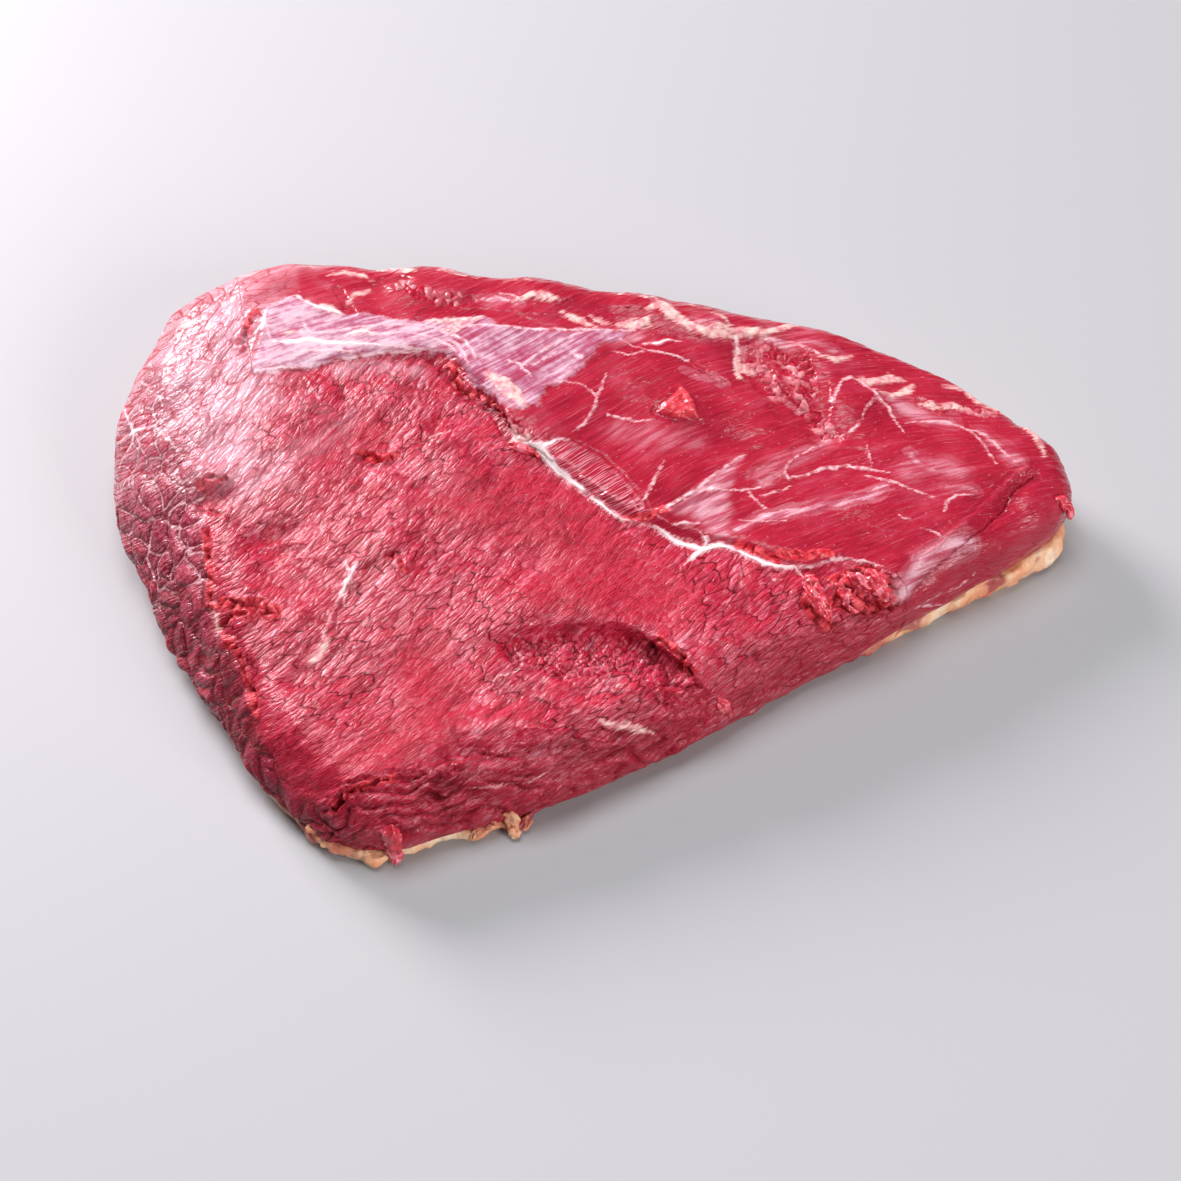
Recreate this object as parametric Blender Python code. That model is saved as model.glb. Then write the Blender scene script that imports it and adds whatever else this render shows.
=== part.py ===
"""A raw, dry-aged rump cap of beef, lying on its fat cap with the lean side up.

The figures are millimetres. +X runs from the broad cut end to the narrow tip, +Z is up.
The origin is on the table, under the middle of the cut.
"""

from collections import namedtuple

import bpy
import numpy as np
from mathutils import Vector, noise
from mathutils.geometry import delaunay_2d_cdt

MM = 0.001

# The edge, station by station, anticlockwise seen from above. x and y are where the side bulges
# out furthest and belly is how high that is. shoulder is how far in the side has rounded over
# to the top, and bulge how full that rounding is: 2 for a quarter ellipse, 1 for a flat bevel.
# tuck is how far the side draws in again at its foot, fat the height of the seam between lean
# and fat there, and lip how far the fat stands out past that seam.
Station = namedtuple("Station", "x y shoulder bulge belly tuck fat lip")
EDGE = [
    Station(-152.5, 34, 40, 1.9, 13, 8, 4.0, 0.5),
    Station(-145, 2, 34, 1.6, 11, 6, 4.0, 0.5),
    Station(-129, -32, 25, 1.4, 9, 4, 4.0, 0.5),
    Station(-102, -76, 15, 1.4, 9, 3, 4.0, 0.5),
    Station(-77, -104, 10, 1.5, 8, 2, 4.5, 1.5),
    Station(-56, -110, 9, 2.0, 8, 2, 4.5, 1.0),
    Station(-33, -103, 10, 2.0, 9, 3, 4.0, 0.5),
    Station(3, -89, 11, 2.0, 9, 3, 3.5, 0.0),
    Station(35, -71, 10, 2.0, 9, 3, 3.5, 0.0),
    Station(65, -51.5, 9, 2.0, 10, 3, 4.0, 0.5),
    Station(94, -34, 8, 2.0, 11, 3, 5.5, 1.0),
    Station(121, -17, 7, 2.0, 14, 3, 8.0, 2.0),
    Station(143, -4, 9, 2.0, 16, 3, 10.0, 3.0),
    Station(154, 7, 10, 2.0, 18, 3, 11.0, 2.5),
    Station(156, 19, 11, 2.0, 20, 3, 14.0, 1.0),
    Station(148, 34, 9, 2.0, 24, 1, 22.5, 3.0),
    Station(131, 50, 8, 2.0, 26, 1, 25.0, 3.5),
    Station(106, 67.5, 9, 2.0, 26, 2, 23.0, 3.0),
    Station(77, 83, 13, 2.0, 22, 4, 12.0, 1.5),
    Station(40, 93, 14, 2.0, 20, 5, 8.0, 1.0),
    Station(1, 100, 14, 2.0, 21, 5, 7.0, 1.0),
    Station(-44, 105, 15, 2.0, 22, 6, 6.0, 0.5),
    Station(-84, 108, 18, 2.0, 22, 7, 5.0, 0.5),
    Station(-115, 106, 26, 2.0, 20, 8, 4.0, 0.5),
    Station(-136, 91, 34, 2.0, 18, 9, 4.0, 0.5),
    Station(-148, 66, 40, 2.0, 15, 9, 4.0, 0.5),
]
EDGE_STEP = 3.8

# How thick the cut is away from its edges, fat included.
Height = namedtuple("Height", "x y z")
THICKNESS = [
    Height(-104, 60, 47),
    Height(-99, 8, 38),
    Height(-94, -42, 29),
    Height(-71, -87, 22),
    Height(-29, -72, 25),
    Height(-39, -12, 35),
    Height(-39, 48, 42),
    Height(-19, 88, 43),
    Height(31, -42, 30),
    Height(41, 18, 35),
    Height(51, 78, 38),
    Height(96, -2, 30),
    Height(111, 48, 31),
    Height(141, 23, 27),
]
THICKNESS_REACH = 34

# Where one layer of muscle ends on top of another. Seen along the line, its left side stands
# up over it and its right side lies below it, and both fade out away from the line.
Ledge = namedtuple("Ledge", "x y up down")
LEDGES = {
    "skin_and_seam": [
        Ledge(-103, 49, 0.5, 0),
        Ledge(-76, 54, 1.4, 0),
        Ledge(-60, 58, 1.8, 0.3),
        Ledge(-43, 56, 2.6, 0.8),
        Ledge(-31, 42, 3.0, 1.0),
        Ledge(-23, 27, 3.0, 0.8),
        Ledge(-14, 18, 2.8, 0.4),
        Ledge(7, 0, 2.8, 0.2),
        Ledge(27, -11, 2.4, 0.2),
        Ledge(44, -15, 2.2, 0.2),
        Ledge(64, -23, 2.0, 0),
        Ledge(78, -21, 1.6, 0),
        Ledge(95, -25, 0.6, 0),
    ],
    "crater": [
        Ledge(-30, -50, 0.2, 0.8),
        Ledge(-18, -46, 0.5, 2.2),
        Ledge(-3, -45, 0.6, 2.6),
        Ledge(12, -46, 0.6, 3.0),
        Ledge(22, -51, 0.6, 3.4),
        Ledge(28, -57, 0.4, 3.0),
        Ledge(33, -64, 0.2, 1.0),
    ],
}
LEDGE_HALF = 1.1
LEDGE_UP_FADE = 20
LEDGE_DOWN_FADE = 9

# Grooves and ridges that follow a line over the top or along the side.
Fold = namedtuple("Fold", "width rise line")
FOLDS = [
    Fold(4.0, -3.6, [(50, 69, 37), (53, 59, 36), (60, 49, 35), (70, 38, 34), (78, 29, 32)]),
    Fold(3.2, -2.2, [(68, 63, 35), (76, 51, 33), (77, 38, 32)]),
    Fold(3.2, -1.8, [(140, 16, 29), (123, -1, 29), (109, -16, 28), (101, -25, 25)]),
    Fold(3.0, -2.6, [(-37, -88, 25), (-16, -87, 24), (5, -80, 24), (20, -75, 20), (34, -67, 15)]),
    Fold(3.0, -1.8, [(-62, -103, 20), (-45, -98, 20), (-30, -97, 19), (-20, -96, 13)]),
    Fold(3.4, 1.4, [(-66, -97, 24), (-42, -82, 26), (-16, -79, 27), (6, -74, 27), (24, -70, 21)]),
    Fold(2.8, 1.5, [(-66, -107, 14), (-54, -108, 17), (-42, -105, 13), (-30, -101, 9)]),
    Fold(3.0, 1.3, [(-14, -94, 15), (4, -87, 15), (22, -77, 14)]),
    Fold(3.0, -1.6, [(40, -66, 14), (62, -53, 15), (86, -38, 16)]),
    Fold(3.6, 1.6, [(16, 81, 40), (28, 78, 39), (50, 74, 37), (64, 73, 36)]),
    Fold(4.0, -1.4, [(-4, 76, 41), (20, 71, 40), (44, 66, 38)]),
    Fold(3.0, -1.6, [(-112, 72, 46), (-110, 64, 46), (-114, 54, 45)]),
    Fold(3.5, -1.5, [(-120, 98, 34), (-94, 103, 32), (-70, 100, 33), (-52, 101, 30)]),
    Fold(3.5, -1.4, [(-30, 100, 29), (0, 95, 29), (30, 90, 29)]),
]

# Lobes and hollows of the upper surface: long and wide are the half sizes, turn is in degrees.
Lobe = namedtuple("Lobe", "x y long wide turn rise")
LOBES = [
    Lobe(-114, 0, 6, 4, 20, -4.6),
    Lobe(-114, 9, 8, 3, 0, 1.4),
    Lobe(-95, -14, 10, 5, 10, -2.0),
    Lobe(-103, -41, 9, 5, 70, 1.8),
    Lobe(-85, 78, 5, 4, 0, 1.2),
    Lobe(-57, 83, 9, 6, 0, 2.2),
    Lobe(-69, 85, 5, 4, 0, -1.6),
    Lobe(-40, 87, 9, 5, 0, 1.0),
    Lobe(-14, 86, 10, 5, -10, 1.4),
    Lobe(-5, 41, 10, 7, 40, 1.4),
    Lobe(-22, 18, 7, 3, -20, 1.0),
    Lobe(30, 41, 7, 4, 30, 1.6),
    Lobe(84, 46, 13, 9, -40, 2.4),
    Lobe(75, 63, 7, 4, -20, 1.3),
    Lobe(92, 54, 9, 4, -30, 1.4),
    Lobe(114, 47, 9, 4, -20, 1.2),
    Lobe(67, -34, 5, 4, 0, 1.8),
    Lobe(77, -36, 5, 4, 20, -1.6),
    Lobe(86, -31, 5, 4, 40, 1.8),
    Lobe(96, -26, 5, 4, 0, 1.2),
    Lobe(25, -60, 8, 5, -30, -1.4),
    Lobe(-60, 0, 26, 10, 40, 1.0),
    Lobe(-30, -30, 24, 9, 30, -1.0),
    Lobe(110, 14, 26, 12, 35, 1.6),
]

# The cut is uneven all over: wavelength and height of that, on the top and round the side.
UNEVEN_LENGTH = 21
UNEVEN_TOP = 1.2
UNEVEN_SIDE = 2.0

# Scraps of fat that hang out past the near edge, by where they are along X.
Tag = namedtuple("Tag", "x reach half")
TAGS = [
    Tag(-59, 3.0, 4.0),
    Tag(-31, 4.5, 4.5),
    Tag(-20, 6.5, 3.2),
]
TAG_SIDE = -60
UNEVEN_LIP = 0.5

TOP_STEP = 4.6
SHOULDER_RINGS = (1.0, 2.8, 5.4)
WALL_ROWS = 4

# The seam between lean and fat away from the edge: a plane that rises towards the tip.
SEAM_HEIGHT = 6.5
SEAM_RISE = 0.018
SEAM_INSET = 9
GAP = 0.3
FAT_FOOT = 1.6

LEAN_COLOUR = (0.42, 0.035, 0.045, 1)
FAT_COLOUR = (0.78, 0.52, 0.33, 1)


def clear_scene():
    for old in list(bpy.data.objects):
        bpy.data.objects.remove(old)


def edge_samples():
    """The stations joined by a closed Catmull-Rom curve, at even steps along it."""
    stations = np.array(EDGE, float)
    before, after, beyond = (np.roll(stations, shift, axis=0) for shift in (1, -1, -2))
    t = np.linspace(0, 1, 24, endpoint=False)[:, None, None]
    curve = 0.5 * (
        2 * stations
        + (after - before) * t
        + (2 * before - 5 * stations + 4 * after - beyond) * t**2
        + (3 * stations - before - 3 * after + beyond) * t**3
    )
    dense = curve.transpose(1, 0, 2).reshape(-1, stations.shape[1])
    closed = np.vstack([dense, dense[:1]])
    steps = np.linalg.norm(np.diff(closed[:, :2], axis=0), axis=1)
    along = np.concatenate([[0], np.cumsum(steps)])
    count = round(along[-1] / EDGE_STEP)
    wanted = np.linspace(0, along[-1], count, endpoint=False)
    fields = [np.interp(wanted, along, closed[:, i]) for i in range(closed.shape[1])]
    return np.array(fields).T


def outward(ring):
    """The unit normal in plan at each point of an anticlockwise ring."""
    along = np.roll(ring, -1, axis=0) - np.roll(ring, 1, axis=0)
    normal = np.stack([along[:, 1], -along[:, 0]], axis=1)
    return normal / np.linalg.norm(normal, axis=1, keepdims=True)


def nearest_on_edge(points, edge):
    """For each point, its distance to the edge curve and the edge's fields there."""
    a, b = edge, np.roll(edge, -1, axis=0)
    d = b[:, :2] - a[:, :2]
    to = points[:, None] - a[None, :, :2]
    share = np.clip((to * d).sum(2) / (d * d).sum(1), 0, 1)
    gap = np.linalg.norm(to - share[..., None] * d, axis=2)
    best = gap.argmin(axis=1)
    rows = np.arange(len(points))
    mix = share[rows, best][:, None]
    return gap[rows, best], a[best] * (1 - mix) + b[best] * mix


def thickness(points):
    stations = np.array(THICKNESS, float)
    span = np.linalg.norm(points[:, None] - stations[None, :, :2], axis=2)
    weight = np.exp(-0.5 * (span / THICKNESS_REACH) ** 2) + 1e-9
    return (weight * stations[:, 2]).sum(1) / weight.sum(1)


def top_height(points, edge):
    """The height of the upper surface, rounding over from the belly to the full thickness."""
    inset, at = nearest_on_edge(points, edge)
    shoulder, bulge, belly = at[:, 2], at[:, 3], at[:, 4]
    share = np.clip(inset / shoulder, 0, 1)
    rounding = (1 - (1 - share) ** bulge) ** (1 / bulge)
    return belly + (thickness(points) - belly) * rounding


def nearest_on_line(points, line):
    """For each point, its offset from the nearest place on an open line, and the line there."""
    line = np.array(line, float)
    size = points.shape[1]
    a, b = line[:-1], line[1:]
    d = (b - a)[:, :size]
    to = points[:, None] - a[None, :, :size]
    share = np.clip((to * d).sum(2) / (d * d).sum(1), 0, 1)
    offset = to - share[..., None] * d
    best = np.linalg.norm(offset, axis=2).argmin(axis=1)
    rows = np.arange(len(points))
    mix = share[rows, best][:, None]
    return offset[rows, best], a[best] * (1 - mix) + b[best] * mix, d[best]


def ledges(points):
    """How far the layers of muscle lift the surface, or let it drop, at each plan point."""
    total = np.zeros(len(points))
    for line in LEDGES.values():
        offset, at, along = nearest_on_line(points, line)
        span = np.linalg.norm(offset, axis=1)
        left = np.sign(along[:, 0] * offset[:, 1] - along[:, 1] * offset[:, 0])
        share = np.clip((left * span / LEDGE_HALF + 1) / 2, 0, 1)
        away = np.maximum(span - LEDGE_HALF, 0)
        up = at[:, 2] * share * np.exp(-((away / LEDGE_UP_FADE) ** 2))
        down = at[:, 3] * (1 - share) * np.exp(-((away / LEDGE_DOWN_FADE) ** 2))
        total += up - down
    return total


def lobes(points):
    """The height of the lobes and hollows at each plan point."""
    total = np.zeros(len(points))
    for lobe in LOBES:
        turn = np.radians(lobe.turn)
        x, y = points[:, 0] - lobe.x, points[:, 1] - lobe.y
        along = x * np.cos(turn) + y * np.sin(turn)
        across = y * np.cos(turn) - x * np.sin(turn)
        total += lobe.rise * np.exp(-((along / lobe.long) ** 2) - (across / lobe.wide) ** 2)
    return total


def folds(points):
    """How far the grooves and ridges push the surface out at each point in space."""
    total = np.zeros(len(points))
    for fold in FOLDS:
        span = np.linalg.norm(nearest_on_line(points, fold.line)[0], axis=1)
        total += fold.rise * np.exp(-((span / fold.width) ** 2))
    return total


def uneven(points):
    """A slow, even randomness from -1 to 1, the same on every run."""
    return np.array([noise.noise(Vector(point / UNEVEN_LENGTH)) for point in points])


def point_normals(points, triangles):
    corners = points[np.array(triangles)]
    across = np.cross(corners[:, 1] - corners[:, 0], corners[:, 2] - corners[:, 0])
    total = np.zeros_like(points)
    for corner in range(3):
        np.add.at(total, np.array(triangles)[:, corner], across)
    return total / np.maximum(np.linalg.norm(total, axis=1, keepdims=True), 1e-9)


def inside(points, ring):
    """True for each point inside the ring, by counting the edges to its right."""
    a, b = ring, np.roll(ring, -1, axis=0)
    x, y = points[:, :1], points[:, 1:]
    spans = (a[:, 1] > y) != (b[:, 1] > y)
    run = b[:, 1] - a[:, 1]
    cross = (b[:, 0] - a[:, 0]) * (y - a[:, 1]) / np.where(run == 0, 1e-12, run) + a[:, 0]
    return (spans & (x < cross)).sum(1) % 2 == 1


def ledge_rows():
    """Plan points just either side of each ledge, so that its step is crisp."""
    made = []
    for line in LEDGES.values():
        line = np.array(line, float)[:, :2]
        steps = np.linalg.norm(np.diff(line, axis=0), axis=1)
        along = np.concatenate([[0], np.cumsum(steps)])
        wanted = np.linspace(0, along[-1], round(along[-1] / TOP_STEP) + 1)
        middle = np.stack([np.interp(wanted, along, line[:, i]) for i in range(2)], axis=1)
        heading = np.gradient(middle, axis=0)
        side = np.stack([-heading[:, 1], heading[:, 0]], axis=1)
        side *= LEDGE_HALF / np.linalg.norm(side, axis=1, keepdims=True)
        made += [middle + side, middle - side]
    return np.vstack(made)


def top_points(edge):
    """Plan points of the upper surface: the belly ring, rings close inside it, an even field."""
    ring = edge[:, :2]
    normal = outward(ring)
    rings = [ring] + [ring - normal * inset for inset in SHOULDER_RINGS]
    low, high = ring.min(axis=0), ring.max(axis=0)
    rows = np.arange(low[1], high[1], TOP_STEP * np.sqrt(3) / 2)
    field = []
    for index, y in enumerate(rows):
        start = low[0] + (index % 2) * TOP_STEP / 2
        xs = np.arange(start, high[0], TOP_STEP)
        field.append(np.stack([xs, np.full_like(xs, y)], axis=1))
    field = np.vstack(field)
    rows = ledge_rows()
    rows = rows[nearest_on_edge(rows, edge)[0] > SHOULDER_RINGS[-1] + 1.5]
    field = field[inside(field, ring)]
    deep = nearest_on_edge(field, edge)[0] > SHOULDER_RINGS[-1] + TOP_STEP * 0.55
    near = np.linalg.norm(field[:, None] - rows[None], axis=2).min(axis=1)
    return np.vstack(rings + [rows, field[deep & (near > TOP_STEP * 0.6)]])


def top_faces(points, count):
    """Triangles over the plan points, inside the belly ring, which is the first count points."""
    rim = [(i, (i + 1) % count) for i in range(count)]
    made = delaunay_2d_cdt([tuple(p) for p in points], rim, [], 1, 1e-6)
    plan, faces, origins = made[0], made[2], made[3]
    index = [source[0] for source in origins]
    assert len(plan) == len(points)
    turned = []
    for a, b, c in faces:
        pa, pb, pc = plan[a], plan[b], plan[c]
        area = (pb - pa).cross(pc - pa)
        order = (a, b, c) if area > 0 else (a, c, b)
        turned.append(tuple(index[i] for i in order))
    return turned


def strip(first, second, count):
    """Two triangles for each step between two rings, given by their first index, outer first."""
    faces = []
    for i in range(count):
        j = (i + 1) % count
        faces.append((first + i, second + i, second + j))
        faces.append((first + i, second + j, first + j))
    return faces


def seam_rings(edge):
    """The seam between lean and fat: the ring at the foot of the side, and one further in."""
    ring = edge[:, :2]
    normal = outward(ring)
    tuck, fat = edge[:, 5:6], edge[:, 6]
    foot = ring - normal * tuck
    inner = ring - normal * (tuck + SEAM_INSET)
    inner_z = SEAM_HEIGHT + SEAM_RISE * inner[:, 0]
    return np.column_stack([foot, fat]), np.column_stack([inner, inner_z])


def lean(edge):
    """The muscle: the upper surface, the side down to its foot, and the seam under it."""
    count = len(edge)
    plan = top_points(edge)
    top = np.column_stack([plan, top_height(plan, edge)])
    faces = top_faces(plan, count)
    foot, inner = seam_rings(edge)
    foot[:, 2] += GAP / 2
    inner[:, 2] += GAP / 2
    parts = [top]
    give = [np.ones(len(top))]
    above, size = 0, len(top)
    for row in range(1, WALL_ROWS + 1):
        turn = np.pi / 2 * row / WALL_ROWS
        draw_in, drop = 1 - np.cos(turn), np.sin(turn)
        wall = top[:count] + (foot - top[:count]) * np.array([draw_in, draw_in, drop])
        parts.append(wall)
        give.append(np.full(count, 1 - row / WALL_ROWS))
        faces += strip(above, size, count)
        above, size = size, size + count
    parts.append(inner)
    give.append(np.zeros(count))
    faces += strip(above, size, count)
    points = with_relief(np.vstack(parts), faces, np.concatenate(give))
    faces.append(tuple(size + count - 1 - i for i in range(count)))
    return points, faces


def with_relief(points, triangles, give):
    """The smooth form with its layers, lobes, folds and unevenness; give is how much of them."""
    normal = point_normals(points, triangles)
    level = np.clip(normal[:, 2], 0, 1)
    plan = points[:, :2]
    rise = (ledges(plan) + lobes(plan)) * level
    rise += folds(points)
    rise += uneven(points) * (UNEVEN_SIDE + (UNEVEN_TOP - UNEVEN_SIDE) * level)
    return points + normal * (rise * give)[:, None]


def fat_lip(foot, lip):
    """How far the fat stands out past the seam: uneven, and with scraps at the near edge."""
    reach = lip * (1 + UNEVEN_LIP * uneven(foot * 2))
    near = foot[:, 1] < TAG_SIDE
    for tag in TAGS:
        reach = reach + near * tag.reach * np.exp(-(((foot[:, 0] - tag.x) / tag.half) ** 2))
    return reach


def fat_cap(edge):
    """The fat: its seam with the lean, its own edge, and the flat face that lies on the table."""
    count = len(edge)
    foot, inner = seam_rings(edge)
    foot[:, 2] -= GAP / 2
    inner[:, 2] -= GAP / 2
    normal = outward(foot[:, :2])
    lip = fat_lip(foot, edge[:, 7])[:, None]
    shapes = ((0.75, 0.93), (1.0, 0.7), (1.0, 0.3), (0.8, 0.0))
    rows = [inner, foot]
    for push, height in shapes:
        plan = foot[:, :2] + normal * lip * push
        rows.append(np.column_stack([plan, foot[:, 2] * height]))
    rows[-1][:, :2] -= normal * FAT_FOOT
    faces = [tuple(range(count))]
    for row in range(len(rows) - 1):
        faces += [face[::-1] for face in strip((row + 1) * count, row * count, count)]
    last = (len(rows) - 1) * count
    faces.append(tuple(last + count - 1 - i for i in range(count)))
    return np.vstack(rows), faces


def material(name, colour, roughness):
    made = bpy.data.materials.new(name)
    made.use_nodes = True
    shader = made.node_tree.nodes["Principled BSDF"]
    shader.inputs["Base Color"].default_value = colour
    shader.inputs["Roughness"].default_value = roughness
    made.diffuse_color = colour
    return made


def add_solid(name, points, faces, finish):
    mesh = bpy.data.meshes.new(name)
    mesh.from_pydata((points * MM).tolist(), [], faces)
    mesh.materials.append(finish)
    mesh.shade_smooth()
    mesh.validate()
    made = bpy.data.objects.new(name, mesh)
    bpy.context.scene.collection.objects.link(made)
    return made


def centre(parts):
    """Moves the points so that the middle of the cut's footprint is over the origin."""
    low = np.min([points[:, :2].min(axis=0) for points in parts], axis=0)
    high = np.max([points[:, :2].max(axis=0) for points in parts], axis=0)
    for points in parts:
        points[:, :2] -= (low + high) / 2


def main():
    clear_scene()
    edge = edge_samples()
    lean_points, lean_faces = lean(edge)
    fat_points, fat_faces = fat_cap(edge)
    centre([lean_points, fat_points])
    add_solid("lean", lean_points, lean_faces, material("lean", LEAN_COLOUR, 0.4))
    add_solid("fat_cap", fat_points, fat_faces, material("fat_cap", FAT_COLOUR, 0.45))


main()
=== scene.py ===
import math
from functools import partial

import bmesh
import bpy
import numpy as np
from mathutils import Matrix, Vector, noise
from mathutils.bvhtree import BVHTree


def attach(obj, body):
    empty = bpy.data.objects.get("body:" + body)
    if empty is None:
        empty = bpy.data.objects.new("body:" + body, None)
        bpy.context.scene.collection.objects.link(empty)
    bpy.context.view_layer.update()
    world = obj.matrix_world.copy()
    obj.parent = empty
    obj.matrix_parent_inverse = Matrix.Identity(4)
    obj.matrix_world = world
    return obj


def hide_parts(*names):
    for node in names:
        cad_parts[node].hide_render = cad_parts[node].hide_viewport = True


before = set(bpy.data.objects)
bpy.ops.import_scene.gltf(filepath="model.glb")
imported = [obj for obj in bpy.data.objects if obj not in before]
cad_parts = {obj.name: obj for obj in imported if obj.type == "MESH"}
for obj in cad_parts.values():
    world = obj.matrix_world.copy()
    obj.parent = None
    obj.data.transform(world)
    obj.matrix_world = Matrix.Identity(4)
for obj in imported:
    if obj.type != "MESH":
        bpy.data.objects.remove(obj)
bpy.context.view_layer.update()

# Dry-aged rump cap of beef, fat side down. Lengths are millimetres until a mesh is made.
mm = 0.001


# Camera and the way from a pixel of the photograph to the meat

photo = {
    "size": 1181,
    "centre": (590.5, 572.0),  # where the lens axis meets the picture
    "elevation": 50,  # degrees above the table
    "distance": 715,
    "aim": (1.0, -11.7, 16.3),
    "lens": 70,
    "sensor": 36,
}
tilt = math.radians(photo["elevation"])
viewBack = np.array([0, -math.cos(tilt), math.sin(tilt)])
viewUp = np.array([0, math.sin(tilt), math.cos(tilt)])
viewPlace = np.array(photo["aim"]) + viewBack * photo["distance"]
focalPixels = photo["size"] * photo["lens"] / photo["sensor"]


def addCamera():
    data = bpy.data.cameras.new("photoCamera")
    data.lens = photo["lens"]
    data.sensor_width = photo["sensor"]
    middle = photo["size"] / 2
    data.shift_x = (middle - photo["centre"][0]) / photo["size"]
    data.shift_y = (photo["centre"][1] - middle) / photo["size"]
    camera = bpy.data.objects.new("photoCamera", data)
    camera.location = Vector(viewPlace * mm)
    camera.rotation_euler = (math.pi / 2 - tilt, 0, 0)
    bpy.context.scene.collection.objects.link(camera)
    bpy.context.scene.camera = camera


def pixelRay(pixel):
    across = np.array([1, 0, 0]) * (pixel[0] - photo["centre"][0])
    upward = viewUp * (photo["centre"][1] - pixel[1])
    return across + upward - viewBack * focalPixels


# Number tools: distances to lines and outlines, soft noise, cells

farMm = 9.0  # distances to lines and borders are not told apart beyond this


def lineField(points, line, halfWidths, reach=farMm):
    # how far each point is inside a band of changing half width along a line, in mm, and no less than -reach
    line = np.asarray(line, float)
    halfWidths = np.broadcast_to(halfWidths, len(line)).astype(float)
    best = np.full(len(points), -reach)
    margin = reach + halfWidths.max()
    near = np.all((points > line.min(0) - margin) & (points < line.max(0) + margin), axis=1)
    close = points[near]
    found = best[near]
    for a, b, wa, wb in zip(line[:-1], line[1:], halfWidths[:-1], halfWidths[1:]):
        d = b - a
        share = np.clip(((close - a) @ d) / max(d @ d, 1e-9), 0, 1)
        span = np.linalg.norm(close - a - share[:, None] * d, axis=1)
        found = np.maximum(found, wa + (wb - wa) * share - span)
    best[near] = found
    return best


def patchField(plan, outline, reach=30.0):
    # how far each plan point is inside an outline, negative outside, in mm
    outline = np.asarray(outline, float)
    closed = np.vstack([outline, outline[:1]])
    away = -lineField(plan, closed, 0.0, reach)
    inside = np.zeros(len(plan), bool)
    for a, b in zip(closed[:-1], closed[1:]):
        if a[1] == b[1]:
            continue
        spans = (a[1] > plan[:, 1]) != (b[1] > plan[:, 1])
        cross = a[0] + (b[0] - a[0]) * (plan[:, 1] - a[1]) / (b[1] - a[1])
        inside ^= spans & (plan[:, 0] < cross)
    return np.where(inside, away, -away)


def smooth(values, low, high):
    share = np.clip((values - low) / (high - low), 0, 1)
    return share * share * (3 - 2 * share)


def softNoise(points, size, seed, layers=1):
    # smooth randomness of about -1 to 1, in lumps as large as size
    shifted = (points / np.asarray(size, float) + 7.13 * seed).tolist()
    return 1.6 * np.array([noise.fractal(p, 1.0, 2.0, layers) for p in shifted])


def bentBy(points, size, amount, seed):
    # the same points pushed about by soft noise
    return points + amount * np.stack([softNoise(points, size, seed + axis) for axis in range(3)], axis=1)


def cellField(points, size, seed):
    # distance to the nearest border between cells, in units of size, and a random tone for each cell
    shifted = (points / np.asarray(size, float) + 5.7 * seed).tolist()
    border = np.empty(len(points))
    tone = np.empty(len(points))
    for index, place in enumerate(shifted):
        spans, hearts = noise.voronoi(place)
        apart = (hearts[1] - hearts[0]).length
        border[index] = (spans[1] ** 2 - spans[0] ** 2) / (2 * apart)
        tone[index] = (hearts[0].x * 91.7 + hearts[0].y * 57.3 + hearts[0].z * 33.1) % 1.0
    return border, tone


def valley(border, width, power=2):
    # 1 on a border, fading within about width
    return np.exp(-((border / width) ** power))


# Meshes

def mergedCopy(node, name):
    mesh = bpy.data.meshes.new(name)
    work = bmesh.new()
    work.from_mesh(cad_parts[node].data)
    bmesh.ops.remove_doubles(work, verts=work.verts, dist=0.02 * mm)
    work.to_mesh(mesh)
    work.free()
    return mesh


def linkPiece(name, mesh, slot, finish, *nodes):
    piece = bpy.data.objects.new(name, mesh)
    bpy.context.scene.collection.objects.link(piece)
    mesh.materials.clear()
    mesh.materials.append(finish)
    mesh.shade_smooth()
    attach(piece, "root")
    if nodes:
        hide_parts(*nodes)
    return piece


def evaluated(mesh, addModifier):
    # a plain mesh as the modifier leaves it
    holder = bpy.data.objects.new("holder", mesh)
    bpy.context.scene.collection.objects.link(holder)
    addModifier(holder)
    graph = bpy.context.evaluated_depsgraph_get()
    made = bpy.data.meshes.new_from_object(holder.evaluated_get(graph))
    bpy.data.objects.remove(holder)
    return made


def subdivided(mesh, levels):
    def addModifier(holder):
        modifier = holder.modifiers.new("smooth", "SUBSURF")
        modifier.levels = modifier.render_levels = levels
    return evaluated(mesh, addModifier)


def readPoints(mesh):
    values = np.empty(len(mesh.vertices) * 3)
    mesh.vertices.foreach_get("co", values)
    return values.reshape(-1, 3) / mm


def readNormals(mesh):
    values = np.empty(len(mesh.vertices) * 3)
    mesh.vertex_normals.foreach_get("vector", values)
    return values.reshape(-1, 3)


def writePoints(mesh, points):
    mesh.vertices.foreach_set("co", (points * mm).ravel())
    mesh.update()


def writeField(mesh, name, values):
    kind = "FLOAT" if values.ndim == 1 else "FLOAT_VECTOR"
    layer = mesh.attributes.new(name, kind, "POINT")
    layer.data.foreach_set("value" if kind == "FLOAT" else "vector", values.astype(np.float32).ravel())


def quadMesh(name, points, corners, fields=None, normals=None):
    # a mesh of four-cornered faces, with fields and, where a border must not show, given normals
    made = bpy.data.meshes.new(name)
    made.vertices.add(len(points))
    made.loops.add(corners.size)
    made.polygons.add(len(corners))
    made.vertices.foreach_set("co", (points * mm).ravel())
    made.loops.foreach_set("vertex_index", corners.ravel().astype(np.int32))
    made.polygons.foreach_set("loop_start", np.arange(0, corners.size, 4, dtype=np.int32))
    made.update(calc_edges=True)
    made.shade_smooth()
    for key, values in (fields or {}).items():
        writeField(made, key, values)
    if normals is not None:
        made.normals_split_custom_set_from_vertices(normals.tolist())
    return made


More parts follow.
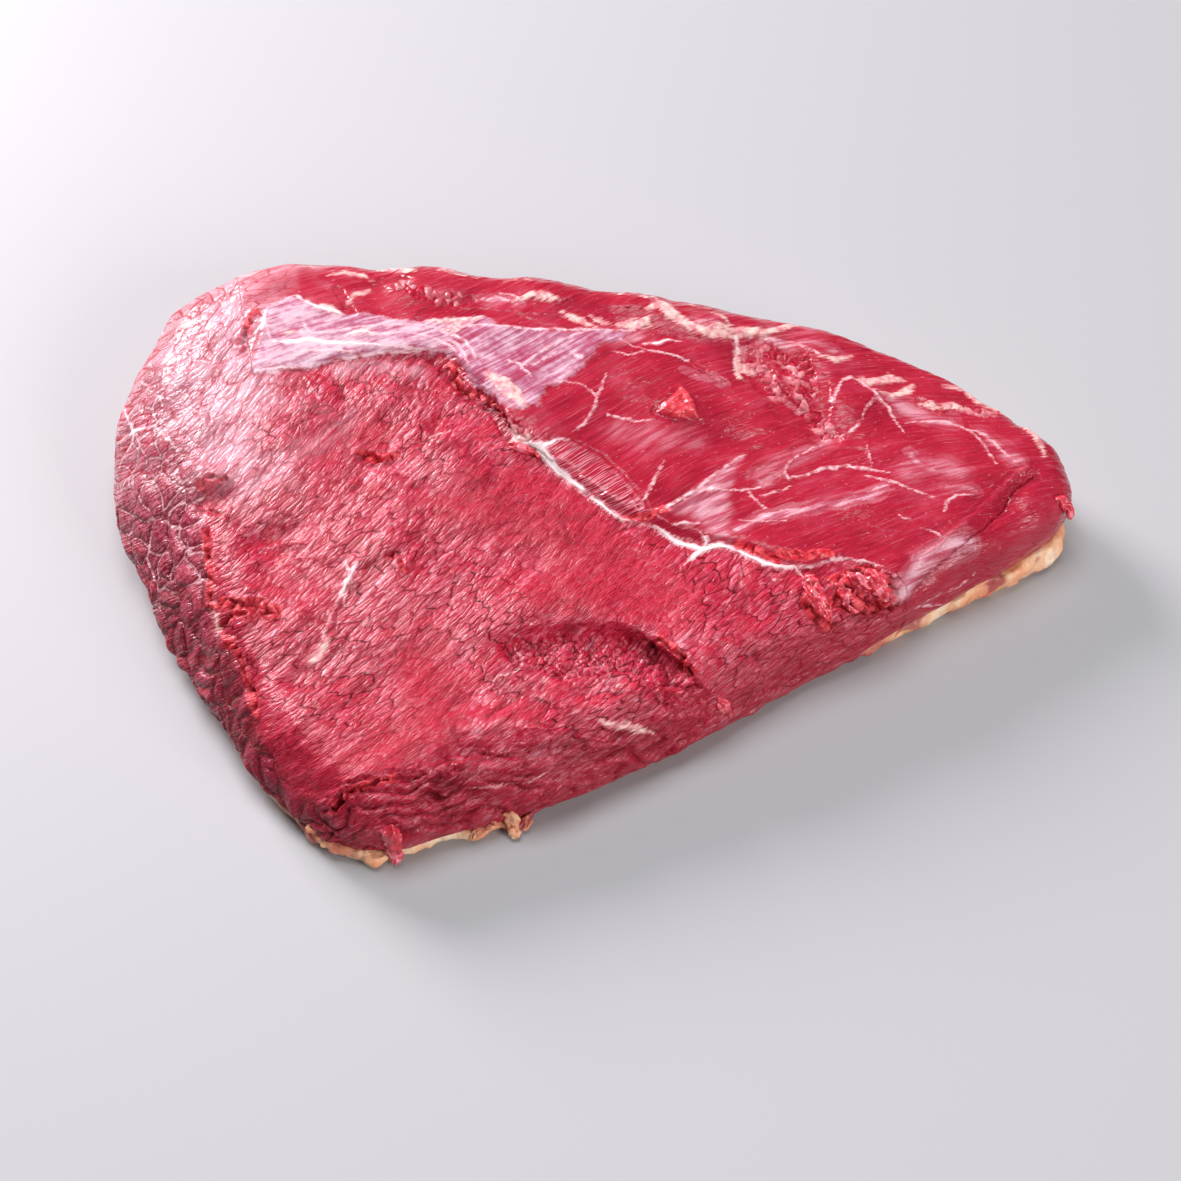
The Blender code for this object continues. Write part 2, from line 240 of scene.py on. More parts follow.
def treeOf(mesh):
    return BVHTree.FromPolygons([v.co for v in mesh.vertices], [tuple(p.vertices) for p in mesh.polygons])


hanging = {
    "level": 1.6,  # height at which a line off the meat lies
    "reach": 12,  # a longer step than this leaves the meat
}
farShares = np.linspace(0.8, 1.25, 46)  # places along a ray that misses, as shares of the camera's distance


def eyeRay(pixel):
    # from the lens, the direction in which a pixel of the photograph looks
    return Vector(viewPlace * mm), Vector(pixelRay(pixel)).normalized()


def onCut(pixels):
    # where pixels of the photograph meet the lean or the fat, and beside them a place near the table;
    # a place too far from the last one is taken at the last one's distance from the lens instead
    found = []
    for pixel in pixels:
        start, ray = eyeRay(pixel)
        hits = [tree.ray_cast(start, ray) for tree in (leanTree, fatTree)]
        hits = [(hit[3], hit[0]) for hit in hits if hit[0] is not None]
        if hits:
            place = min(hits, key=lambda hit: hit[0])[1]
        else:
            place = start + ray * ((hanging["level"] * mm - start.z) / ray.z)
        last = Vector(found[-1] * mm) if found else place
        if (place - last).length > hanging["reach"] * mm:
            place = start + ray * (last - start).dot(ray)
        found.append(np.array(place) / mm)
    return np.array(found)


def onMeat(pixels):
    # where pixels of the photograph meet the lean, in mm; a pixel beside it takes the nearest place
    found = []
    for pixel in pixels:
        start, ray = eyeRay(pixel)
        hit = leanTree.ray_cast(start, ray)[0]
        if hit is None:
            places = [start + ray * photo["distance"] * share * mm for share in farShares]
            hit = min(map(leanTree.find_nearest, places), key=lambda near: near[3])[0]
        found.append(np.array(hit) / mm)
    return np.array(found)


leanMesh = mergedCopy("lean", "leanMuscle")
leanTree = treeOf(leanMesh)


# Fibre direction: guides from the photograph, and two coordinates that follow them

grainGuides = {
    # pixel x, pixel y, angle of the fibres in the picture, anticlockwise from the right
    "left": [
        (160, 380, 75), (180, 440, 92), (220, 320, 55), (250, 420, 62), (300, 480, 48), (380, 420, 55),
        (430, 380, 60), (450, 480, 52), (520, 500, 50), (380, 560, 55), (300, 600, 45), (250, 560, 40),
        (330, 680, 52), (290, 740, 45), (420, 640, 48), (480, 700, 40), (380, 760, 22), (440, 785, 12),
        (560, 620, 42), (620, 600, 38), (700, 620, 35), (780, 620, 30), (560, 740, 12), (650, 735, 15),
        (740, 700, 28), (840, 640, 28), (520, 560, 45), (180, 600, 70), (240, 710, 60),
    ],
    "right": [
        (600, 420, 38), (660, 460, 38), (720, 430, 35), (640, 370, 25), (760, 470, 35), (800, 540, 20),
        (850, 500, 15), (870, 410, 50), (930, 560, 35), (980, 470, 30), (1000, 540, 42), (560, 350, 10),
        (400, 330, 3), (300, 340, 8), (700, 330, -10), (850, 370, -18), (950, 420, -25), (590, 470, 66),
        (560, 450, 66), (625, 505, 66),
    ],
}
grainGrid = {"low": (-180, -140), "high": (180, 140), "step": 2.5, "reach": 22}


def grainCoordinates(points, guides):
    # two coordinates in mm, along and across fibres that bend the way the guides say
    spots = []
    for x, y, angle in guides:
        turn = math.radians(angle)
        here, there = onMeat([(x, y), (x + 6 * math.cos(turn), y - 6 * math.sin(turn))])
        heading = (there - here)[:2]
        spots.append((here[0], here[1], math.atan2(heading[1], heading[0]) % math.pi))
    spots = np.array(spots)
    step = grainGrid["step"]
    xs = np.arange(grainGrid["low"][0], grainGrid["high"][0] + step, step)
    ys = np.arange(grainGrid["low"][1], grainGrid["high"][1] + step, step)
    gridX, gridY = np.meshgrid(xs, ys, indexing="ij")
    span = np.hypot(gridX[..., None] - spots[:, 0], gridY[..., None] - spots[:, 1])
    weight = np.exp(-0.5 * (span / grainGrid["reach"]) ** 2) + 1e-7 / (1 + span)
    double = (weight * np.exp(2j * spots[:, 2])).sum(-1)
    angle = np.angle(double) / 2
    headX, headY = np.cos(angle), np.sin(angle)
    flip = np.where(headY < -0.5, -1, 1)
    headX, headY = headX * flip, headY * flip
    made = []
    for slopeX, slopeY in ((headX, headY), (-headY, headX)):
        # the height whose slope fits best: a Poisson equation, solved by Fourier on the mirrored grid
        edgeX = (slopeX[1:] + slopeX[:-1]) / 2
        edgeY = (slopeY[:, 1:] + slopeY[:, :-1]) / 2
        source = np.zeros_like(slopeX)
        source[:-1] += edgeX
        source[1:] -= edgeX
        source[:, :-1] += edgeY
        source[:, 1:] -= edgeY
        mirrored = np.vstack([source, source[::-1]])
        mirrored = np.hstack([mirrored, mirrored[:, ::-1]])
        waveX = 2 * np.cos(2 * np.pi * np.fft.fftfreq(mirrored.shape[0])) - 2
        waveY = 2 * np.cos(2 * np.pi * np.fft.fftfreq(mirrored.shape[1])) - 2
        scale = waveX[:, None] + waveY[None, :]
        scale[0, 0] = 1
        height = np.real(np.fft.ifft2(np.fft.fft2(mirrored) / scale)) * step
        height = height[: len(xs), : len(ys)]
        atX = np.clip((points[:, 0] - xs[0]) / step, 0, len(xs) - 1.001)
        atY = np.clip((points[:, 1] - ys[0]) / step, 0, len(ys) - 1.001)
        lowX, lowY = atX.astype(int), atY.astype(int)
        partX, partY = atX - lowX, atY - lowY
        near = height[lowX, lowY] * (1 - partX) + height[lowX + 1, lowY] * partX
        far = height[lowX, lowY + 1] * (1 - partX) + height[lowX + 1, lowY + 1] * partX
        made.append(near * (1 - partY) + far * partY)
    return np.column_stack([made[0], made[1], points[:, 2]])


# What shows on the lean, by pixels of the photograph. Widths and heights are mm.

outlines = {
    "rim": [
        (196, 470), (202, 490), (206, 515), (205, 530), (208, 552), (214, 582), (214, 615), (223, 633),
        (237, 650), (249, 684), (257, 713), (266, 746), (274, 762), (298, 797), (318, 812), (330, 850),
    ],
    "skinEdge": [
        (253, 372), (309, 369), (336, 362), (389, 355), (443, 354), (466, 373), (485, 392), (504, 410),
        (508, 430),
    ],
    "seam": [
        (508, 430), (524, 444), (541, 451), (558, 470), (584, 491), (604, 507), (623, 521), (637, 522),
        (653, 526), (678, 541), (702, 549), (718, 545), (731, 548), (747, 555), (762, 563), (778, 568),
        (796, 568), (820, 564), (841, 558), (865, 561), (884, 567),
    ],
    "band": [
        (524, 440), (553, 440), (572, 440), (598, 454), (617, 470), (641, 499), (648, 516), (636, 521),
        (623, 520), (604, 506), (584, 490), (558, 469),
    ],
    "skin": [
        (253, 372), (258, 345), (264, 322), (268, 306), (280, 301), (297, 297), (312, 304), (330, 310),
        (343, 312), (370, 314), (404, 320), (443, 319), (484, 316), (500, 326), (530, 328), (560, 330),
        (600, 330), (634, 331), (618, 341), (600, 346), (592, 358), (578, 372), (560, 384), (550, 386),
        (544, 394), (536, 405), (522, 409), (508, 408), (496, 399), (478, 385), (464, 371), (456, 357),
        (440, 353), (420, 352), (389, 355), (360, 358), (336, 362), (309, 368), (280, 372),
    ],
    "fan": [
        (743, 455), (736, 458), (716, 473), (700, 486), (676, 503), (666, 510), (690, 514), (704, 524),
        (712, 538), (730, 542), (733, 520), (731, 495), (736, 475),
    ],
    "pit": [
        (496, 650), (504, 637), (541, 635), (581, 632), (627, 632), (653, 640), (681, 660), (697, 676),
        (708, 694), (722, 708), (700, 716), (668, 712), (659, 690), (633, 672), (596, 672), (559, 684),
        (536, 672), (512, 668),
    ],
    "flap": [(681, 387), (668, 397), (656, 413), (676, 419), (700, 420), (693, 404)],
    "lip": [
        (290, 815), (322, 795), (363, 772), (440, 764), (470, 750), (532, 744), (604, 730), (650, 724),
        (700, 714), (760, 692), (800, 666), (870, 626), (930, 588), (984, 542), (1020, 500), (1046, 470),
    ],
}
tissueLines = [
    # line, half width in mm at each point or one for all
    (outlines["seam"], (
        0.2, 1.1, 1.7, 1.3, 1.0, 0.9, 0.6, 0.12, 0.6, 1.0,
        1.2, 1.1, 0.7, 0.8, 1.0, 0.9, 0.6, 0.45, 0.35, 0.35, 0.1,
    )),
    ([(704, 548), (694, 556), (685, 565)], (1.2, 1.2, 0.2)),
    ([(700, 530), (706, 540), (704, 549)], (0.2, 0.7, 0.8)),
    ([(672, 524), (684, 521), (700, 522)], (0.3, 0.7, 0.2)),
    ([(508, 446), (524, 444), (541, 446), (556, 440), (572, 438)], (0.2, 0.8, 1.2, 0.7, 0.1)),
    ([(796, 568), (800, 573), (803, 578)], (0.8, 0.6, 0.15)),
    ([(773, 579), (781, 580)], (0.3, 0.2)),
    ([(134, 431), (118, 446), (112, 466)], (0.9, 0.5, 0.1)),
    ([(134, 431), (150, 428), (160, 424)], (0.9, 0.6, 0.1)),
    ([(134, 431), (130, 448), (122, 462), (118, 474)], (0.8, 0.6, 0.4, 0.1)),
    ([(134, 431), (127, 414), (124, 400)], (0.9, 0.5, 0.1)),
    ([(134, 431), (142, 448), (150, 462)], (0.6, 0.3, 0.1)),
    ([(160, 434), (168, 440), (176, 448)], (0.2, 0.6, 0.1)),
    ([(357, 562), (349, 577), (341, 592), (335, 606)], (0.5, 1.0, 0.8, 0.2)),
    ([(344, 560), (349, 570)], (0.2, 0.8)),
    ([(335, 606), (329, 622), (322, 640), (317, 652)], (0.2, 0.25, 0.3, 0.2)),
    ([(342, 608), (346, 592), (353, 578)], (0.1, 0.3, 0.1)),
    ([(432, 437), (442, 433), (453, 429)], (0.2, 0.7, 0.15)),
    ([(644, 344), (655, 344), (668, 341), (682, 342)], (0.3, 0.8, 0.7, 0.15)),
    ([(620, 340), (634, 346), (652, 352), (672, 356), (688, 360)], (0.1, 0.25, 0.35, 0.4, 0.3)),
    ([(612, 352), (628, 356), (644, 352)], (0.1, 0.25, 0.1)),
    (
        [(852, 377), (864, 384), (876, 395), (888, 409), (896, 424), (904, 436)],
        (0.4, 0.45, 0.5, 0.4, 0.3, 0.1),
    ),
    ([(832, 404), (836, 392), (842, 380), (852, 377)], (0.2, 0.35, 0.4, 0.4)),
    ([(862, 420), (866, 408), (876, 398)], (0.1, 0.35, 0.3)),
    ([(842, 436), (852, 430), (860, 424)], (0.1, 0.4, 0.2)),
    (
        [
            (830, 440), (812, 450), (790, 462), (784, 474), (788, 480), (800, 478), (822, 470),
            (845, 466), (868, 468), (890, 473),
        ],
        (0.1, 0.2, 0.25, 0.25, 0.35, 0.3, 0.5, 0.55, 0.5, 0.15),
    ),
    ([(864, 474), (884, 480), (903, 487), (934, 498)], (0.1, 0.35, 0.35, 0.1)),
    ([(866, 446), (870, 458), (872, 464)], (0.1, 0.2, 0.1)),
    (
        [(903, 425), (925, 424), (945, 423), (962, 428), (975, 436), (986, 448), (996, 464)],
        (0.1, 0.25, 0.35, 0.35, 0.3, 0.25, 0.1),
    ),
    ([(962, 428), (985, 436), (1003, 452), (1014, 462)], (0.15, 0.3, 0.25, 0.1)),
    (
        [(664, 508), (682, 498), (700, 488), (716, 474), (736, 460), (746, 453)],
        (0.5, 0.6, 0.4, 0.3, 0.2, 0.1),
    ),
    ([(700, 492), (712, 489), (722, 489)], (0.3, 0.6, 0.3)),
    ([(722, 489), (740, 489), (756, 488), (770, 484)], (0.15, 0.15, 0.15, 0.1)),
    ([(748, 488), (752, 496), (762, 506), (768, 510)], (0.3, 0.2, 0.3, 0.1)),
    ([(760, 496), (776, 492), (790, 487)], (0.15, 0.15, 0.1)),
    ([(738, 519), (758, 521), (786, 522)], (0.1, 0.18, 0.1)),
    ([(608, 414), (616, 416), (640, 422), (655, 420)], (0.3, 0.35, 0.25, 0.1)),
    ([(643, 500), (650, 488), (656, 476), (664, 462)], (0.15, 0.5, 0.45, 0.1)),
    (
        [(545, 386), (565, 380), (584, 384), (597, 396), (594, 410), (584, 424), (572, 432)],
        (0.1, 0.2, 0.25, 0.4, 0.4, 0.35, 0.1),
    ),
    ([(597, 396), (602, 384), (606, 374)], (0.4, 0.3, 0.1)),
    ([(514, 643), (523, 655), (521, 668), (510, 674), (500, 677)], (0.1, 0.3, 0.3, 0.2, 0.1)),
    ([(470, 789), (500, 786), (530, 780), (548, 772)], (0.1, 0.2, 0.2, 0.1)),
    ([(920, 530), (932, 532), (940, 538), (944, 541)], (0.1, 0.25, 0.2, 0.1)),
    ([(898, 516), (902, 520), (910, 520)], (0.1, 0.2, 0.1)),
    ([(944, 512), (946, 504), (956, 496), (972, 494)], (0.3, 0.3, 0.3, 0.1)),
    ([(256, 371), (280, 369), (306, 366)], (0.3, 0.45, 0.1)),
    ([(267, 306), (265, 322), (270, 340)], (0.1, 0.25, 0.2)),
    (
        [(272, 341), (290, 343), (310, 341), (330, 344), (360, 345), (390, 347), (420, 349), (444, 351)],
        (0.4, 0.9, 1.0, 0.8, 0.5, 0.4, 0.35, 0.1),
    ),
    ([(286, 352), (310, 351), (340, 351), (360, 352)], (0.1, 0.3, 0.35, 0.1)),
    (
        [(290, 299), (297, 297), (306, 303), (318, 308), (334, 312), (344, 316)],
        (0.2, 0.5, 0.4, 0.7, 0.8, 0.2),
    ),
    (
        [
            (304, 318), (306, 330), (314, 335), (330, 334), (350, 330), (375, 327), (395, 325),
            (420, 325), (445, 329),
        ],
        (0.2, 0.3, 0.3, 0.25, 0.3, 0.3, 0.25, 0.25, 0.1),
    ),
    (
        [
            (345, 338), (355, 334), (366, 334), (380, 336), (400, 333), (420, 334), (436, 338),
            (448, 343), (457, 350),
        ],
        (0.2, 0.6, 0.6, 0.35, 0.3, 0.3, 0.3, 0.35, 0.1),
    ),
    ([(440, 330), (455, 334), (466, 341), (473, 350), (476, 359)], (0.1, 0.4, 0.45, 0.4, 0.1)),
    ([(446, 337), (458, 343), (465, 354), (468, 366)], (0.1, 0.3, 0.3, 0.1)),
    (
        [(455, 326), (480, 326), (520, 328), (560, 330), (600, 331), (634, 331)],
        (0.2, 0.35, 0.3, 0.4, 0.4, 0.15),
    ),
    ([(521, 369), (530, 358), (545, 349), (560, 341), (580, 334)], (0.25, 0.25, 0.25, 0.25, 0.1)),
    ([(508, 360), (518, 364), (526, 372), (530, 378)], (0.3, 0.4, 0.25, 0.1)),
    ([(524, 366), (540, 362), (556, 352)], (0.1, 0.2, 0.1)),
    ([(330, 362), (360, 356), (389, 353), (420, 351)], (0.1, 0.35, 0.35, 0.1)),
    ([(576, 357), (582, 358)], (0.5, 0.4)),
    ([(484, 302), (496, 298), (512, 302)], (0.1, 0.5, 0.1)),
    ([(500, 294), (514, 296), (524, 302)], (0.1, 0.35, 0.1)),
    ([(736, 337), (738, 350), (736, 364)], (0.8, 0.5, 0.5)),
    ([(780, 342), (800, 346), (816, 353), (824, 358)], (0.1, 0.3, 0.3, 0.2)),
    ([(745, 338), (770, 338), (800, 343)], (0.2, 0.25, 0.1)),
    ([(906, 612), (930, 606), (946, 603)], (0.1, 0.3, 0.1)),
    ([(918, 608), (940, 594), (962, 584), (976, 574)], (0.1, 0.25, 0.2, 0.1)),
]
creamFat = [
    # line, half width at each point or one for all
    ([(330, 276), (345, 272), (360, 274), (373, 280)], (0.3, 1.0, 1.2, 0.4)),
    ([(347, 303), (356, 295), (370, 288)], (0.4, 1.3, 0.5)),
    ([(322, 307), (332, 309), (341, 314)], (0.6, 1.6, 0.6)),
    ([(276, 335), (290, 334), (304, 333)], (0.3, 0.9, 0.4)),
    ([(352, 336), (362, 333), (374, 335)], (0.5, 1.5, 0.4)),
    ([(430, 322), (450, 320), (470, 320), (482, 318)], (0.6, 1.6, 1.9, 0.6)),
    ([(440, 329), (456, 328), (470, 324)], (0.5, 1.3, 0.5)),
    ([(516, 300), (530, 296), (548, 296), (560, 300)], (0.5, 1.5, 1.5, 0.4)),
    ([(562, 312), (572, 318), (582, 324), (596, 328)], (0.5, 1.7, 1.6, 0.5)),
    ([(590, 316), (600, 322), (610, 326)], (0.5, 1.1, 0.4)),
    ([(616, 326), (632, 326), (646, 322), (650, 316)], (0.5, 1.9, 1.8, 0.5)),
    (
        [(648, 308), (662, 303), (670, 312), (682, 322), (700, 330), (716, 333), (736, 337)],
        (0.6, 2.3, 2.1, 1.7, 1.7, 2.0, 1.0),
    ),
    (
        [(700, 328), (720, 326), (740, 332), (760, 332), (780, 328), (797, 324)],
        (0.5, 1.5, 1.8, 1.7, 1.6, 0.6),
    ),
    ([(712, 312), (724, 318), (734, 328)], (0.3, 0.9, 0.9)),
    ([(820, 357), (834, 361), (850, 358)], (0.5, 1.5, 0.9)),
    ([(860, 379), (874, 381), (890, 378), (902, 380)], (0.5, 1.9, 1.9, 0.6)),
    ([(874, 390), (890, 396), (906, 392), (912, 386)], (0.3, 1.0, 1.8, 0.8)),
    ([(920, 406), (930, 404), (938, 408)], (0.8, 1.5, 0.8)),
    ([(942, 408), (952, 405), (960, 408)], (0.8, 1.8, 0.9)),
    (
        [(944, 386), (962, 391), (981, 400), (1002, 411), (1020, 423), (1034, 438), (1046, 457)],
        (0.4, 1.0, 1.3, 1.4, 1.4, 1.2, 0.6),
    ),
    ([(178, 333), (186, 327), (193, 322)], (0.5, 1.6, 0.9)),
    ([(490, 374), (500, 383), (512, 394), (520, 402)], (1.2, 2.6, 3.0, 1.6)),
    ([(737, 352), (738, 364), (740, 376)], (0.7, 1.3, 1.2)),
    ([(738, 364), (746, 369), (754, 372)], (1.2, 1.6, 0.6)),
    ([(308, 662), (316, 656), (325, 645), (328, 639)], (0.4, 1.6, 1.1, 0.2)),
    ([(512, 430), (516, 440), (526, 443), (528, 434)], (1.0, 1.8, 1.7, 0.5)),
    ([(214, 610), (219, 618), (218, 640)], (0.3, 0.8, 0.3)),
    ([(598, 722), (616, 726), (636, 728), (652, 732)], (0.4, 1.0, 1.2, 0.6)),
]
tornMeat = [
    # bright, rough places where meat was torn: line, half width
    ([(812, 598), (818, 612), (826, 624)], 3.2),
    ([(838, 600), (850, 605), (862, 600)], 2.8),
    ([(870, 578), (884, 590), (893, 603)], 3.6),
    ([(846, 590), (866, 610), (880, 606)], 3.0),
    ([(832, 580), (850, 572), (874, 570)], 1.8),
    ([(240, 346), (247, 330), (254, 312)], 1.8),
    ([(202, 486), (212, 479), (224, 480)], 1.6),
    ([(222, 606), (236, 604), (262, 606), (272, 612)], 2.4),
    ([(222, 628), (230, 616), (250, 618)], 1.8),
    ([(360, 452), (376, 458), (396, 454)], 1.4),
    ([(448, 362), (456, 376), (462, 388), (478, 394)], 1.3),
    ([(478, 392), (492, 404), (506, 422)], 0.9),
    ([(660, 640), (672, 648), (684, 660), (692, 672)], 1.7),
    ([(392, 556), (400, 562), (404, 572)], 1.2),
    ([(621, 521), (636, 519), (650, 517), (664, 508)], 1.3),
    ([(205, 530), (208, 552), (214, 582), (214, 606)], 1.3),
    ([(228, 640), (240, 656), (249, 684), (257, 713)], 1.5),
    ([(330, 812), (345, 797), (368, 786), (392, 780)], 1.5),
    ([(780, 552), (806, 556), (830, 552)], 1.6),
    ([(740, 545), (760, 552), (778, 560)], 1.4),
]
lumpyMeat = [
    # grainy lumps of fat and meat together
    ([(745, 345), (756, 366), (770, 386), (776, 398)], 2.2),
    ([(770, 350), (790, 362), (800, 384), (806, 404), (816, 424), (828, 436)], 3.0),
    ([(806, 366), (812, 392)], 2.4),
    ([(404, 284), (420, 290), (440, 300), (452, 300)], 3.0),
    ([(920, 404), (940, 408), (965, 408), (990, 412)], 2.0),
    ([(512, 425), (524, 432), (524, 442)], 2.2),
]
velvetMeat = [
    # fine-grained places with less gloss, where the painted sheen is weaker and a painted shade darkens the
    # red: line, half width
    ([(480, 500), (520, 500), (560, 530), (600, 570)], 9),
    ([(560, 590), (600, 596), (650, 600)], 7),
    ([(330, 440), (360, 430)], 5),
    ([(420, 660), (440, 720), (400, 750)], 6),
    ([(262, 740), (290, 770), (330, 770)], 6),
]
filmAndSheenStreaks = [
    # thin pale film over red muscle, and in places a painted sheen where a lamp reflects: line, half width,
    # strength
    ([(572, 350), (600, 340), (636, 336)], 4.5, 0.45),
    ([(735, 528), (760, 520), (790, 513), (824, 505), (860, 499), (886, 490)], 2.4, 0.9),
    ([(903, 590), (913, 575), (930, 560), (950, 550), (966, 540)], 4.6, 0.8),
    ([(905, 470), (935, 466), (960, 470)], 5, 0.35),
    ([(620, 430), (650, 440), (690, 440)], 6, 0.2),
    ([(912, 456), (922, 463), (930, 468)], 2.6, 0.85),
    ([(770, 340), (800, 342), (835, 352)], 2.6, 0.5),
    ([(700, 320), (722, 322)], 2.0, 0.5),
    ([(890, 402), (915, 416), (950, 424)], 3.4, 0.5),
    ([(484, 302), (505, 299), (520, 304)], 1.8, 0.7),
    ([(760, 476), (790, 462), (826, 446)], 4.0, 0.3),
    ([(980, 430), (1000, 446), (1018, 462)], 3.0, 0.4),
    ([(950, 488), (975, 490)], 2.2, 0.5),
    ([(180, 360), (205, 400), (222, 440), (235, 470)], 13, 0.35),
    ([(225, 310), (240, 370), (256, 400)], 8, 0.5),
    ([(340, 372), (380, 366), (420, 372)], 4, 0.4),
    ([(280, 470), (320, 440), (350, 420)], 6, 0.2),
    ([(684, 370), (700, 376), (720, 383)], 1.1, 0.8),
]
